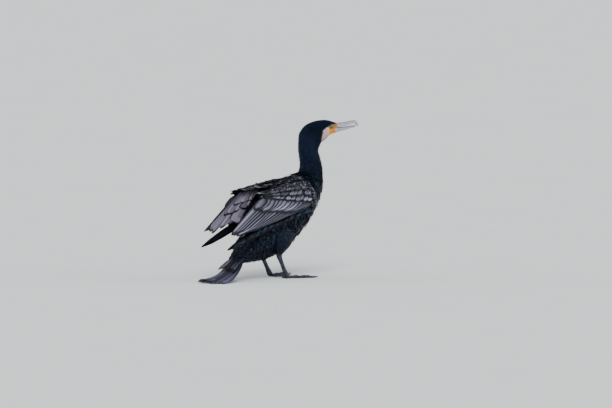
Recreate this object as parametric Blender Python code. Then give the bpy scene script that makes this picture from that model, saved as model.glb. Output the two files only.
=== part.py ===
"""A great cormorant as a still, life-size model. It stands on both feet, the neck drawn up into a tall curve,
the bill a little raised and open, the folded wings held loosely off the sloping back, and the tail laid on the
floor behind it.

Metres, +X forward, +Y to the bird's left, +Z up. The origin is on the floor, under the middle of the box round
the whole bird."""

import math

import bmesh
import bpy
import numpy as np
from mathutils import Matrix, Vector

# Sizes that drive the rest
GAP = 0.0003
BODY_SIDES = 20
HEAD_TURN = math.radians(-13)
NECK_TOP = (0.094, 0.385)
SOLE = 0.0
SIDES = {"left": 1, "right": -1}

# Colours: red, green, blue, then roughness and metallic
FINISHES = {
    "plumage": ((0.012, 0.020, 0.034), 0.42, 0.0),
    "wing_plumage": ((0.085, 0.078, 0.095), 0.5, 0.0),
    "flight_feathers": ((0.055, 0.053, 0.068), 0.48, 0.0),
    "bill_horn": ((0.50, 0.48, 0.52), 0.38, 0.0),
    "face_skin": ((0.85, 0.42, 0.03), 0.5, 0.0),
    "foot_skin": ((0.022, 0.021, 0.024), 0.45, 0.0),
    "eye": ((0.01, 0.16, 0.11), 0.06, 0.0),
}


def clear_scene():
    for obj in list(bpy.data.objects):
        bpy.data.objects.remove(obj)


def finish(name):
    """The named finish as a material, made once."""
    known = bpy.data.materials.get(name)
    if known:
        return known
    colour, roughness, metallic = FINISHES[name]
    material = bpy.data.materials.new(name)
    material.use_nodes = True
    shader = material.node_tree.nodes["Principled BSDF"]
    shader.inputs["Base Color"].default_value = (*colour, 1)
    shader.inputs["Roughness"].default_value = roughness
    shader.inputs["Metallic"].default_value = metallic
    return material


def follow(rows, t):
    """Reads rows of numbers at t, counted in rows from 0, along a smooth curve through them."""
    rows = np.asarray(rows, float)
    last = len(rows) - 1
    t = min(max(t, 0.0), float(last))
    k = min(int(t), last - 1)
    f = t - k
    before, here, there, after = (rows[min(max(k + j, 0), last)] for j in (-1, 0, 1, 2))
    return 0.5 * (
        2 * here
        + (there - before) * f
        + (2 * before - 5 * here + 4 * there - after) * f * f
        + (3 * here - before - 3 * there + after) * f * f * f
    )


def unit(vector):
    vector = np.asarray(vector, float)
    return vector / np.linalg.norm(vector)


def mesh_object(name, bm, material):
    """A closed mesh as an object of that name, with its faces turned outwards."""
    bmesh.ops.recalc_face_normals(bm, faces=bm.faces)
    mesh = bpy.data.meshes.new(name)
    bm.to_mesh(mesh)
    bm.free()
    mesh.materials.append(finish(material))
    obj = bpy.data.objects.new(name, mesh)
    bpy.context.scene.collection.objects.link(obj)
    return obj


def skinned(rings):
    """A closed bmesh through rings of equally many points, with a flat cap on the first and the last."""
    bm = bmesh.new()
    loops = [[bm.verts.new(tuple(p)) for p in ring] for ring in rings]
    sides = len(loops[0])
    for a, b in zip(loops, loops[1:]):
        for j in range(sides):
            k = (j + 1) % sides
            bm.faces.new((a[j], a[k], b[k], b[j]))
    bm.faces.new(loops[0])
    bm.faces.new(list(reversed(loops[-1])))
    bmesh.ops.triangulate(bm, faces=[f for f in bm.faces if len(f.verts) > 4])
    return bm


def blade(rings):
    """A closed bmesh through the rings of a thin blade. Each ring runs along its top and back along its bottom,
    and both faces are split along the same diagonals, so that they can't cross."""
    bm = bmesh.new()
    loops = [[bm.verts.new(tuple(p)) for p in ring] for ring in rings]
    sides = len(loops[0])
    for a, b in zip(loops, loops[1:]):
        for j in range(sides):
            k = (j + 1) % sides
            if j < sides // 2:
                bm.faces.new((a[j], a[k], b[k]))
                bm.faces.new((a[j], b[k], b[j]))
            else:
                bm.faces.new((a[j], a[k], b[j]))
                bm.faces.new((a[k], b[k], b[j]))
    for loop in (loops[0], loops[-1]):
        for j in range(sides // 2 - 1):
            top, bottom = loop[j : j + 2], loop[sides - 2 - j : sides - j]
            bm.faces.new((top[0], top[1], bottom[0]))
            bm.faces.new((top[0], bottom[0], bottom[1]))
    return bm


def section_ring(row, sides):
    """One cross-section of the body: its row holds x, z, the reach to the back and to the belly, the half width,
    and how far the section's own axis is raised, in degrees."""
    x, z, back, belly, half_width, raised = row
    lean = math.radians(raised)
    ring = []
    for j in range(sides):
        angle = 2 * math.pi * j / sides
        up = math.cos(angle) * (back if math.cos(angle) > 0 else belly)
        ring.append((x - up * math.sin(lean), math.sin(angle) * half_width, z + up * math.cos(lean)))
    return ring


def body_piece(name, rows, start, end, steps, sides=BODY_SIDES):
    """The length of the body between two places along its rows, half a gap shorter where a neighbour meets it."""
    places = np.linspace(start, end, steps)
    rings = [section_ring(follow(rows, t), sides) for t in places]
    for ring, place, way in ((0, start, 1), (-1, end, -1)):
        lean = math.radians(follow(rows, place)[5])
        shift = way * GAP / 2
        rings[ring] = [
            (x + shift * math.cos(lean), y, z + shift * math.sin(lean)) for x, y, z in rings[ring]
        ]
    return mesh_object(name, skinned(rings), "plumage")


def applied(obj):
    """Bakes an object's modifiers into its mesh."""
    graph = bpy.context.evaluated_depsgraph_get()
    mesh = bpy.data.meshes.new_from_object(obj.evaluated_get(graph))
    obj.modifiers.clear()
    obj.data = mesh
    return obj


def keep_largest(obj):
    """Leaves only the largest closed surface of a mesh. Surfaces that share no edge are separate."""
    bm = bmesh.new()
    bm.from_mesh(obj.data)
    left = set(bm.faces)
    surfaces = []
    while left:
        surface = [left.pop()]
        for face in surface:
            near = {other for edge in face.edges for other in edge.link_faces}
            surface += near & left
            left -= near
        surfaces.append(surface)
    surfaces.sort(key=len)
    loose = [face for surface in surfaces[:-1] for face in surface]
    bmesh.ops.delete(bm, geom=loose, context="FACES")
    bm.to_mesh(obj.data)
    bm.free()
    return obj


def joined(obj, pieces):
    """Fuses closed pieces into obj by one Boolean union, and removes them."""
    bunch = bpy.data.collections.new(obj.name + "_pieces")
    bpy.context.scene.collection.children.link(bunch)
    for piece in pieces:
        bpy.context.scene.collection.objects.unlink(piece)
        bunch.objects.link(piece)
    union = obj.modifiers.new("union", "BOOLEAN")
    union.operation = "UNION"
    union.operand_type = "COLLECTION"
    union.collection = bunch
    union.solver = "MANIFOLD"
    applied(obj)
    for piece in pieces:
        bpy.data.objects.remove(piece)
    bpy.data.collections.remove(bunch)
    return keep_largest(obj)


def cut(obj, *cutters, operation="DIFFERENCE"):
    """Takes each cutter out of obj, or keeps what they share, and removes the cutters."""
    for cutter in cutters:
        boolean = obj.modifiers.new("cut", "BOOLEAN")
        boolean.operation = operation
        boolean.object = cutter
        boolean.solver = "MANIFOLD"
        applied(obj)
        bpy.data.objects.remove(cutter)
    return keep_largest(obj)


def grown(obj, by=GAP):
    """A copy of obj with its surface moved outwards, to cut a neighbour clear of it."""
    bm = bmesh.new()
    bm.from_mesh(obj.data)
    bm.normal_update()
    for vert in bm.verts:
        vert.co += vert.normal * by
    return mesh_object(obj.name + "_grown", bm, "plumage")


def copied(obj, name):
    twin = obj.copy()
    twin.data = obj.data.copy()
    twin.name = name
    bpy.context.scene.collection.objects.link(twin)
    return twin


def trimmed(obj, point, outwards):
    """Cuts obj along a plane and closes it there. What lies outwards of the plane goes."""
    bm = bmesh.new()
    bm.from_mesh(obj.data)
    everything = bm.verts[:] + bm.edges[:] + bm.faces[:]
    bmesh.ops.bisect_plane(
        bm, geom=everything, plane_co=Vector(point), plane_no=Vector(outwards), clear_outer=True
    )
    rim = [e for e in bm.edges if e.is_boundary]
    bmesh.ops.holes_fill(bm, edges=rim)
    bmesh.ops.triangulate(bm, faces=[f for f in bm.faces if len(f.verts) > 4])
    bmesh.ops.recalc_face_normals(bm, faces=bm.faces)
    bm.to_mesh(obj.data)
    bm.free()
    return obj


def tube(name, rows, material, sides):
    """A round limb through rows of x, y, z, its radius fore and aft, and its radius across."""
    rows = np.asarray(rows, float)
    rings = []
    for k, row in enumerate(rows):
        along = unit(rows[min(k + 1, len(rows) - 1), :3] - rows[max(k - 1, 0), :3])
        across = unit(np.cross((1, 0, 0) if abs(along[0]) < 0.8 else (0, 0, 1), along))
        fore = np.cross(along, across)
        rings.append(
            [
                row[:3] + fore * math.cos(a) * row[3] + across * math.sin(a) * row[4]
                for a in (2 * math.pi * j / sides for j in range(sides))
            ]
        )
    return mesh_object(name, skinned(rings), material)


# Trunk and neck. Rows run from the tail's root to the top of the neck: x, z, reach to the back, reach to the
# belly, half width, and the raise of the section's axis in degrees.
TRUNK = [
    (-0.168, 0.063, 0.012, 0.016, 0.028, 44),
    (-0.143, 0.084, 0.024, 0.042, 0.040, 42),
    (-0.106, 0.112, 0.042, 0.069, 0.051, 40),
    (-0.062, 0.147, 0.058, 0.086, 0.058, 39),
    (-0.015, 0.184, 0.069, 0.087, 0.061, 39),
    (0.030, 0.219, 0.073, 0.078, 0.061, 42),
    (0.066, 0.248, 0.064, 0.061, 0.057, 50),
    (0.089, 0.272, 0.050, 0.046, 0.048, 62),
    (0.100, 0.293, 0.0355, 0.036, 0.038, 76),
    (0.103, 0.314, 0.033, 0.033, 0.0325, 88),
    (0.099, 0.338, 0.0315, 0.0300, 0.0295, 94),
    (0.0945, 0.362, 0.0315, 0.0285, 0.028, 93),
    (0.094, 0.385, 0.0315, 0.0380, 0.027, 90),
]
TRUNK_END, NECK_MIDDLE, NECK_END = 8.3, 10.4, 12.0
TORSO_RINGS, NECK_LOWER_RINGS, NECK_UPPER_RINGS, HEAD_RINGS = 16, 6, 5, 14

# Head, straight ahead of the neck's top before it is turned: the same columns, with x counted from the neck
HEAD = [
    (0.000, 0.385, 0.0315, 0.0380, 0.0270, 90),
    (0.002, 0.403, 0.0318, 0.0437, 0.0262, 72),
    (0.014, 0.416, 0.0318, 0.0409, 0.0252, 50),
    (0.034, 0.421, 0.0312, 0.0327, 0.0238, 29),
    (0.052, 0.424, 0.0287, 0.0245, 0.0215, 17),
    (0.067, 0.4265, 0.0240, 0.0190, 0.0187, 13),
    (0.079, 0.4275, 0.0188, 0.0163, 0.0155, 12),
    (0.0895, 0.4285, 0.0133, 0.0143, 0.0122, 12),
]

EYE_PLACE = (0.0660, 0.0148, 0.4310)
EYE_RADIUS = 0.0062
EYE_SEGMENTS, EYE_RINGS = 12, 8
LID_RADIUS, LID_THICKNESS = 0.0051, 0.0011
LID_FLATNESS, LID_STEPS, LID_SIDES = 1.3, 12, 5
LID_OUT, CHEEK_TAPER = 0.0040, 0.22
GAPE_PLACE = (0.070, 0.4235)
JAW_BLOCK = ((0.057, 0.3940), (0.110, 0.405))
JAW_BLOCK_HALF_WIDTH, JAW_BLOCK_HEIGHT = 0.04, 0.054
BILL_OPEN = math.radians(4.5)


def trunk_and_neck():
    torso = body_piece("torso", TRUNK, 0, TRUNK_END, TORSO_RINGS)
    body_piece("neck_lower", TRUNK, TRUNK_END, NECK_MIDDLE, NECK_LOWER_RINGS)
    body_piece("neck_upper", TRUNK, NECK_MIDDLE, NECK_END, NECK_UPPER_RINGS)
    return torso


def turning(name, parent, location, axis, angle):
    """An empty that turns what is parented to it about an axis through its own place."""
    pivot = bpy.data.objects.new(name, None)
    pivot.parent = parent
    pivot.location = location
    pivot.rotation_euler[axis] = angle
    bpy.context.scene.collection.objects.link(pivot)
    return pivot


def wedge(name, near, far, half_width, height):
    """A thin upright-sided slab between two points of the bird's middle plane, to part the head with."""
    run = Vector((far[0] - near[0], 0, far[1] - near[1]))
    up = Vector((-run.z, 0, run.x)).normalized() * height / 2
    rings = []
    for end in (near, far):
        middle = Vector((end[0], 0, end[1]))
        side = Vector((0, half_width, 0))
        rings.append([middle + up + side, middle + up - side, middle - up - side, middle - up + side])
    return mesh_object(name, skinned(rings), "plumage")


def head():
    """Head, eyes, bill and the bare throat, in the neck's own plane until the pivot turns them."""
    pivot = turning("head_pivot", None, (NECK_TOP[0], 0, 0), 2, HEAD_TURN)
    jaw = bill(pivot)
    skull = body_piece("head", HEAD, 0, len(HEAD) - 1, HEAD_RINGS)
    throat = copied(skull, "throat_skin")
    block = wedge("jaw_block", *JAW_BLOCK, JAW_BLOCK_HALF_WIDTH, JAW_BLOCK_HEIGHT)
    lids, sockets = [], []
    for side, way in SIDES.items():
        bm = bmesh.new()
        bmesh.ops.create_uvsphere(bm, u_segments=EYE_SEGMENTS, v_segments=EYE_RINGS, radius=EYE_RADIUS)
        bmesh.ops.rotate(bm, verts=bm.verts, matrix=Matrix.Rotation(math.pi / 2, 3, "X"))
        eye = mesh_object("eye_" + side, bm, "eye")
        eye.data.transform(Matrix.Translation((EYE_PLACE[0], way * EYE_PLACE[1], EYE_PLACE[2])))
        sockets.append(grown(eye))
        eye.parent = pivot
        lids.append(lid(side, way))
    joined(skull, lids)
    cut(skull, *sockets)
    cut(skull, grown(block), grown(jaw))
    cut(throat, block, operation="INTERSECT")
    cut(throat, grown(jaw))
    throat.data.materials.clear()
    throat.data.materials.append(finish("face_skin"))
    for obj in (skull, throat):
        obj.parent = pivot
    return pivot


def lid(side, way):
    """The ring of the eyelids, standing a little off the face."""
    rings = []
    for j in range(LID_STEPS):
        round_eye = 2 * math.pi * j / LID_STEPS
        out = Vector((math.cos(round_eye), 0, math.sin(round_eye)))
        reach = EYE_PLACE[1] + LID_OUT - CHEEK_TAPER * out.x * LID_RADIUS
        middle = Vector((EYE_PLACE[0], way * reach, EYE_PLACE[2])) + out * LID_RADIUS
        rings.append(
            [
                middle + (out * math.cos(a) * LID_FLATNESS + Vector((0, math.sin(a), 0))) * LID_THICKNESS
                for a in (2 * math.pi * k / LID_SIDES for k in range(LID_SIDES))
            ]
        )
    bm = bmesh.new()
    loops = [[bm.verts.new(p) for p in ring] for ring in rings]
    for a, b in zip(loops, loops[1:] + loops[:1]):
        for k in range(LID_SIDES):
            after = (k + 1) % LID_SIDES
            bm.faces.new((a[k], a[after], b[after], b[k]))
    return mesh_object("lid_" + side, bm, "face_skin")


# Bill. Rows run from the face to the tip: x from the neck, z of the mouth line, height of that half of the
# bill and its half width. The upper half ends in a hook that turns down in front of the lower one.
UPPER_BILL = [
    (0.0895, 0.4285, 0.0125, 0.0112),
    (0.102, 0.4305, 0.0112, 0.0096),
    (0.116, 0.4330, 0.0100, 0.0080),
    (0.130, 0.4362, 0.0092, 0.0066),
    (0.142, 0.4385, 0.0090, 0.0056),
    (0.150, 0.4378, 0.0090, 0.0046),
    (0.1555, 0.4335, 0.0098, 0.0034),
    (0.1580, 0.4305, 0.0078, 0.0020),
    (0.1588, 0.4292, 0.0030, 0.0008),
]
LOWER_BILL = [
    (0.0895, 0.4280, 0.0128, 0.0112),
    (0.102, 0.4300, 0.0108, 0.0094),
    (0.116, 0.4325, 0.0092, 0.0078),
    (0.130, 0.4357, 0.0078, 0.0062),
    (0.142, 0.4380, 0.0068, 0.0048),
    (0.149, 0.4388, 0.0050, 0.0034),
    (0.152, 0.4390, 0.0022, 0.0015),
]
# Degrees round the outer side of a half, how square its arch is, and the groove along each side of the upper
# one: where it lies, how deep it is drawn in, and the row where it ends
BILL_TURNS = (0, 22, 40, 58, 90, 122, 140, 158, 180)
BILL_ARCH = 0.8
GROOVE_TURNS, GROOVE_SIZE, GROOVE_END = (40, 140), 0.86, 4


def bill_half(name, rows, way):
    """One half of the bill: flat along the mouth, arched on its outer side. way is 1 for the upper half."""
    rings = []
    steps = 2 * (len(rows) - 1) + 1
    for t in np.linspace(0, len(rows) - 1, steps):
        x, mouth, height, half_width = follow(rows, t)
        groove = GROOVE_SIZE if way > 0 and t < GROOVE_END else 1
        ring = []
        for turn in BILL_TURNS:
            a = math.radians(turn)
            size = groove if turn in GROOVE_TURNS else 1
            arch = height * abs(math.sin(a)) ** BILL_ARCH * size
            ring.append((x, half_width * math.cos(a) * size, mouth + way * arch))
        rings.append(ring)
    return mesh_object(name, skinned(rings), "bill_horn")


def bill(pivot):
    upper = bill_half("bill_upper", UPPER_BILL, 1)
    lower = bill_half("bill_lower", LOWER_BILL, -1)
    gape = Vector((GAPE_PLACE[0], 0, GAPE_PLACE[1]))
    opening = Matrix.Translation(gape) @ Matrix.Rotation(BILL_OPEN, 4, "Y") @ Matrix.Translation(-gape)
    upper.data.transform(Matrix.Translation((GAP, 0, 0)))
    lower.data.transform(opening @ Matrix.Translation((GAP, 0, -GAP)))
    upper.parent = pivot
    lower.parent = pivot
    return lower


# Legs. Rows for the left leg: x, y, z, radius fore and aft, radius across.
THIGH = [
    (-0.030, 0.034, 0.150, 0.040, 0.026),
    (-0.034, 0.040, 0.125, 0.038, 0.025),
    (-0.038, 0.042, 0.104, 0.030, 0.020),
    (-0.043, 0.042, 0.088, 0.020, 0.014),
    (-0.046, 0.042, 0.0765, 0.0125, 0.0105),
    (-0.047, 0.042, 0.070, 0.0095, 0.0085),
]
SHANK = [
    (-0.0475, 0.042, 0.074, 0.0085, 0.0080),
    (-0.046, 0.042, 0.066, 0.0085, 0.0075),
    (-0.041, 0.0415, 0.055, 0.0068, 0.0055),
    (-0.034, 0.041, 0.040, 0.0062, 0.0048),
    (-0.027, 0.0405, 0.026, 0.0064, 0.0052),
    (-0.021, 0.040, 0.014, 0.0078, 0.0070),
    (-0.017, 0.040, 0.0075, 0.0080, 0.0075),
]
HEEL_CUT, ANKLE_CUT = 0.0725, 0.0145
THIGH_SIDES, SHANK_SIDES, TOE_SIDES = 16, 12, 8
ANKLE = (-0.015, 0.040)

# Toes of the left foot, from the outer one inwards: direction in degrees to the left of forward, length without
# the claw, and root radius
TOES = {
    "outer": (24, 0.084, 0.0042),
    "middle": (3, 0.072, 0.0044),
    "inner": (-22, 0.052, 0.0042),
    "hind": (-84, 0.028, 0.0038),
}
# Along a toe: share of its length and share of its root radius. Along its claw: the same and the claw's rise
TOE_KNUCKLES = ((0, 1.15), (0.20, 0.92), (0.44, 1.0), (0.62, 0.76), (0.78, 0.88), (1, 0.72))
CLAW = ((0.3, 0.52, 0.62), (0.7, 0.36, 0.66), (1, 0.10, 0.36))
CLAW_LENGTH = 0.011
TOE_HEIGHT, CLAW_WIDTH = 0.72, 0.8
# Webs: where their rings lie from the ankle to the free edge, how near that edge comes to the toes' tips, how
# far it is drawn in, and the points along it
WEB_THICKNESS = 0.0016
WEB_SHARES = (0.1, 0.55, 1.0)
WEB_REACH, WEB_DRAWN_IN, WEB_POINTS = 0.93, 0.62, 6


def toe_way(degrees, way):
    angle = math.radians(degrees)
    return Vector((math.cos(angle), way * math.sin(angle), 0))


def toe(way, degrees, length, radius):
    """A toe with its joints and claw. It is sunk a little, and the floor's plane then cuts its sole flat."""
    start = Vector((ANKLE[0], way * ANKLE[1], 0))
    out = toe_way(degrees, way)
    rows = []
    for share, size in TOE_KNUCKLES:
        r = radius * size
        place = start + out * length * share
        rows.append((place.x, place.y, r * TOE_HEIGHT, r, r))
    for share, size, rise in CLAW:
        place = start + out * (length + CLAW_LENGTH * share)
        rows.append((place.x, place.y, radius * rise, radius * size, radius * size * CLAW_WIDTH))
    return tube("toe", rows, "foot_skin", TOE_SIDES)


def web(way, first, second):
    """The skin between two toes, drawn in along its free edge."""
    start = Vector((ANKLE[0], way * ANKLE[1], 0))
    (turn_a, length_a, _), (turn_b, length_b, _) = first, second
    rings = []
    for share in WEB_SHARES:
        line = []
        for f in np.linspace(0, 1, WEB_POINTS):
            reach = (length_a * (1 - f) + length_b * f) * (WEB_REACH - WEB_DRAWN_IN * f * (1 - f))
            line.append(start + toe_way(turn_a * (1 - f) + turn_b * f, way) * reach * share)
        top = Vector((0, 0, WEB_THICKNESS))
        rings.append([p + top for p in line] + [p - top for p in reversed(line)])
    return mesh_object("web", blade(rings), "foot_skin")


def leg(side, way, torso):
    rows = [(x, way * y, z, fore, across) for x, y, z, fore, across in THIGH]
    thigh = tube("thigh_" + side, rows, "plumage", THIGH_SIDES)
    cut(thigh, grown(torso))
    trimmed(thigh, (0, 0, HEEL_CUT + GAP / 2), (0, 0, -1))
    rows = [(x, way * y, z, fore, across) for x, y, z, fore, across in SHANK]
    shank = tube("shank_" + side, rows, "foot_skin", SHANK_SIDES)
    trimmed(shank, (0, 0, HEEL_CUT - GAP / 2), (0, 0, 1))
    foot = copied(shank, "foot_" + side)
    trimmed(shank, (0, 0, ANKLE_CUT + GAP / 2), (0, 0, -1))
    trimmed(foot, (0, 0, ANKLE_CUT - GAP / 2), (0, 0, 1))
    spread = list(TOES.values())
    pieces = [toe(way, *sizes) for sizes in spread]
    pieces += [web(way, a, b) for a, b in zip(spread, spread[1:])]
    joined(foot, pieces)
    trimmed(foot, (0, 0, SOLE), (0, 0, -1))


# Wings, for the left side. The upper edge runs along the upper arm from the shoulder to the elbow, and the lower
# edge along the forearm from the wrist: x, y, z.
ARM_UPPER = [
    (0.072, 0.044, 0.269),
    (0.040, 0.048, 0.278),
    (0.000, 0.053, 0.277),
    (-0.045, 0.057, 0.269),
    (-0.090, 0.060, 0.260),
    (-0.122, 0.061, 0.252),
]
ARM_LOWER = [
    (0.070, 0.072, 0.222),
    (0.046, 0.077, 0.208),
    (0.004, 0.076, 0.212),
    (-0.042, 0.073, 0.220),
    (-0.086, 0.068, 0.230),
    (-0.120, 0.064, 0.240),
]
ARM_RINGS, HAND_SIDES = 8, 10
ARM_THICKNESS = [(0.006,), (0.0075,), (0.0075,), (0.0065,), (0.0055,), (0.004,)]
HAND = [
    (0.057, 0.0710, 0.204, 0.0060, 0.0040),
    (0.046, 0.0720, 0.201, 0.0085, 0.0055),
    (0.010, 0.0715, 0.197, 0.0085, 0.0055),
    (-0.030, 0.0705, 0.192, 0.0075, 0.0050),
    (-0.056, 0.0685, 0.188, 0.0040, 0.0030),
]

# Feathers. Each tier has rows for the roots and the tips of its vanes, which are spread evenly along them, and a
# count and a half width. A lift is a vane's height over the tier's sheet at its root, at a third and at its tip.
VANE = 0.00055
LAYER = 0.00095
TOP_LAYER, MOST_OVERLAP = 1.15, 1.6
LIFT_PLACES = (0, 0.33, 1)
SECONDARIES, SECONDARY_HALF, SECONDARY_LIFT = 13, 0.0160, (-0.0015, 0, 0)
GREATER_COVERTS, GREATER_COVERT_HALF = 11, 0.0125
PRIMARIES, PRIMARY_HALF, PRIMARY_LIFT = 10, 0.0105, (0, 0, 0)
TAIL_PAIRS, TAIL_HALF = 6, 0.0125
TAIL_COVERT_PAIRS, TAIL_COVERT_HALF = 4, 0.0095
COVERT_LIFT = (0, 0.001, 0)
ROOF_LIFT = (-0.002, 0.0015, 0.0045)
LONG_VANE = ((0, 0.45), (0.30, 0.85), (0.65, 1.0), (0.88, 0.70), (1, 0.12))
SHORT_VANE = ((0, 0.6), (0.55, 1.0), (0.86, 0.8), (1, 0.25))
SECONDARY_ROOTS = [(-0.112, 0.0625, 0.2435), (0.046, 0.0765, 0.2165)]
SECONDARY_TIPS = [
    (-0.236, 0.066, 0.143),
    (-0.232, 0.068, 0.141),
    (-0.222, 0.072, 0.139),
    (-0.200, 0.075, 0.141),
    (-0.184, 0.077, 0.146),
    (-0.160, 0.079, 0.150),
    (-0.135, 0.081, 0.158),
    (-0.100, 0.082, 0.168),
]
PRIMARY_ROOTS = [(0.040, 0.075, 0.199), (-0.046, 0.067, 0.190)]
PRIMARY_TIPS = [(-0.150, 0.072, 0.148), (-0.210, 0.0665, 0.118), (-0.250, 0.0615, 0.097), (-0.235, 0.060, 0.104)]
TAIL_ROOTS = [(-0.175, 0.004, 0.0565), (-0.172, 0.030, 0.0540)]
TAIL_TIPS = [(-0.292, 0.005, 0.0065), (-0.286, 0.032, 0.0040), (-0.262, 0.056, -0.0006)]
TAIL_ROOT = [
    (-0.150, 0.0780, 0.017, 0.017, 0.030, 44),
    (-0.166, 0.0625, 0.013, 0.014, 0.033, 44),
    (-0.182, 0.0480, 0.008, 0.009, 0.036, 41),
    (-0.196, 0.0365, 0.003, 0.004, 0.037, 38),
]
TAIL_SIDES = 12
TAIL_BOW = -0.013
TAIL_LIFT = (-0.001, 0, 0)
TAIL_COVERTS = (
    [(-0.1760, 0.004, 0.0655), (-0.1755, 0.024, 0.0585)],
    [(-0.208, 0.005, 0.0395), (-0.204, 0.030, 0.0350)],
)
OUTWARDS = np.array((0, 1, 0.3))
UPWARDS = np.array((-0.5, 0, 1))
# Tiers of coverts on the arm: how many, the turn round the arm of their roots and of their tips, the height of
# the tips over the arm, how far back the tips lie in arm stations, and the half width
COVERT_TIERS = [
    (8, 42, 88, 0.0052, 0.75, 0.0130),
    (9, 84, 132, 0.0060, 0.80, 0.0125),
]
COVERT_SPAN = (4.6, 0.35)
GREATER_COVERT_TURN, GREATER_COVERT_SPAN = 128, (4.9, 0.9)
GREATER_COVERT_REACH = 0.40
GREATER_COVERT_RISE = 0.0036
ROOT_DEPTH = -0.002
# Rows of long feathers over the shoulder: how many, the first and the last root, the way from root to tip, the
# half width and the side they face
ROOF_ROWS = [
    (6, (0.052, 0.047, 0.2720), (-0.072, 0.057, 0.2590), (-0.074, 0.004, -0.011), 0.0140, (0, 0.2, 1)),
    (5, (0.044, 0.044, 0.2715), (-0.060, 0.0545, 0.2595), (-0.066, -0.017, -0.008), 0.0150, (-0.1, -0.25, 1)),
]


def along_rows(rows, share):
    return follow(rows, share * (len(rows) - 1))


def vane(rings, way):
    """One feather from its rings of points, for the left side or mirrored for the right. Where it would dip into
    the floor, it lies flat on it."""
    placed = []
    for ring in rings:
        lowest = [VANE if j < len(ring) // 2 else 0 for j in range(len(ring))]
        placed.append([(x, way * y, max(z, low)) for (x, y, z), low in zip(ring, lowest)])
    return mesh_object("vane", blade(placed), "flight_feathers")


def vane_ring(near, middle, far, up, ridge):
    """The points round a vane at one station. up is half its thickness, and ridge raises its shaft."""
    if not ridge:
        return [near + up, far + up, far - up, near - up]
    return [near + up, middle + up * (1 + ridge), far + up, far - up, middle - up, near - up]


def tier(count, roots, tips, half_width, way, facing, lift, shape=LONG_VANE, bow=0.0, ridge=0.4, top=False):
    """A row of vanes that overlap like tiles, for one side. They follow the smooth sheet between the rows of roots
    and tips. lift is a vane's height over that sheet at its root, at a third of its length and at its tip. Each
    vane rises towards the next one, and lies over it. With top, the first one also lies flat over the one before.
    """

    def place(q, s):
        inside = min(max(q, 0.0), count - 1.0)
        inner = inside - math.copysign(0.25, q - inside) if q != inside else inside
        shares = (inside / (count - 1), inner / (count - 1))
        here, other = (along_rows(roots, share) * (1 - s) + along_rows(tips, share) * s for share in shares)
        return here + (here - other) * abs(q - inside) * 4

    def normal(q, s):
        along = place(q, 1) - place(q, 0)
        across = place(q + 0.25, s) - place(q - 0.25, s)
        side = unit(np.cross(along, across))
        return side if side @ facing > 0 else -side

    vanes = []
    for i in range(count):
        rings = []
        for s, width in shape:
            along = unit(place(i, 1) - place(i, 0))
            across = (place(i + 0.25, s) - place(i - 0.25, s)) * 2
            spacing = np.linalg.norm(across - along * (across @ along))
            reach = min(half_width * width / spacing, MOST_OVERLAP)
            height = np.interp(s, LIFT_PLACES, lift) + bow * 4 * s * (1 - s)
            points = []
            for q in (-reach, 0, reach):
                rise = LAYER * TOP_LAYER if top and i == 0 else LAYER * q
                points.append(place(i + q, s) + normal(i + q, s) * (height + rise))
            rings.append(vane_ring(*points, normal(i, s) * VANE / 2, ridge))
        vanes.append(vane(rings, way))
    return vanes


def lone_vane(root, tip, half_width, way, facing, lift, shape=SHORT_VANE):
    """One flat vane by itself. lift is its height over the line from root to tip, as in a tier."""
    along = unit(tip - root)
    normal = unit(facing - along * (facing @ along))
    across = np.cross(normal, along)
    rings = []
    for s, width in shape:
        middle = root + (tip - root) * s + normal * np.interp(s, LIFT_PLACES, lift)
        side = across * half_width * width
        rings.append(vane_ring(middle - side, middle, middle + side, normal * VANE / 2, 0))
    return vane(rings, way)


def arm_place(t, turn, lift=0.0):
    """A place on the folded arm: t runs from the shoulder to the elbow, and turn from the upper edge (0 degrees)
    over the outer face to the lower edge (180)."""
    upper, lower = (follow(edge, t) for edge in (ARM_UPPER, ARM_LOWER))
    middle, half = (upper + lower) / 2, (upper - lower) / 2
    out = unit(np.cross((-1, 0, 0), half))
    a = math.radians(turn)
    return middle + half * math.cos(a) + out * (follow(ARM_THICKNESS, t)[0] * math.sin(a) + lift)


def arm_panel(name, way):
    """The flat of the folded upper arm and forearm under their coverts."""
    rings = []
    for t in np.linspace(0, len(ARM_UPPER) - 1, ARM_RINGS):
        ring = [arm_place(t, turn) for turn in range(0, 360, 45)]
        rings.append([(x, way * y, z) for x, y, z in ring])
    return mesh_object(name, skinned(rings), "wing_plumage")


def coverts(way):
    """The small feathers over the arm, in tiers from its upper edge down: each tier's tips lie over the roots of
    the next one, and the last tier's over the secondaries."""
    vanes = []
    for count, root_turn, tip_turn, tip_lift, back, half_width in COVERT_TIERS:
        starts = np.linspace(*COVERT_SPAN, 6)
        roots = [arm_place(t, root_turn, ROOT_DEPTH) for t in starts]
        tips = [arm_place(min(t + back, len(ARM_UPPER) - 1), tip_turn, tip_lift) for t in starts]
        vanes += tier(count, roots, tips, half_width, way, OUTWARDS, COVERT_LIFT, shape=SHORT_VANE, ridge=0)
    roots = [arm_place(t, GREATER_COVERT_TURN, ROOT_DEPTH) for t in np.linspace(*GREATER_COVERT_SPAN, 5)]
    tips = []
    for q in np.linspace(0, 1, 5):
        root, tip = along_rows(SECONDARY_ROOTS, q), along_rows(SECONDARY_TIPS, q)
        tips.append(root + (tip - root) * GREATER_COVERT_REACH + OUTWARDS * GREATER_COVERT_RISE)
    sizes = (GREATER_COVERTS, roots, tips, GREATER_COVERT_HALF)
    return vanes + tier(*sizes, way, OUTWARDS, COVERT_LIFT, shape=SHORT_VANE, ridge=0)


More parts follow.
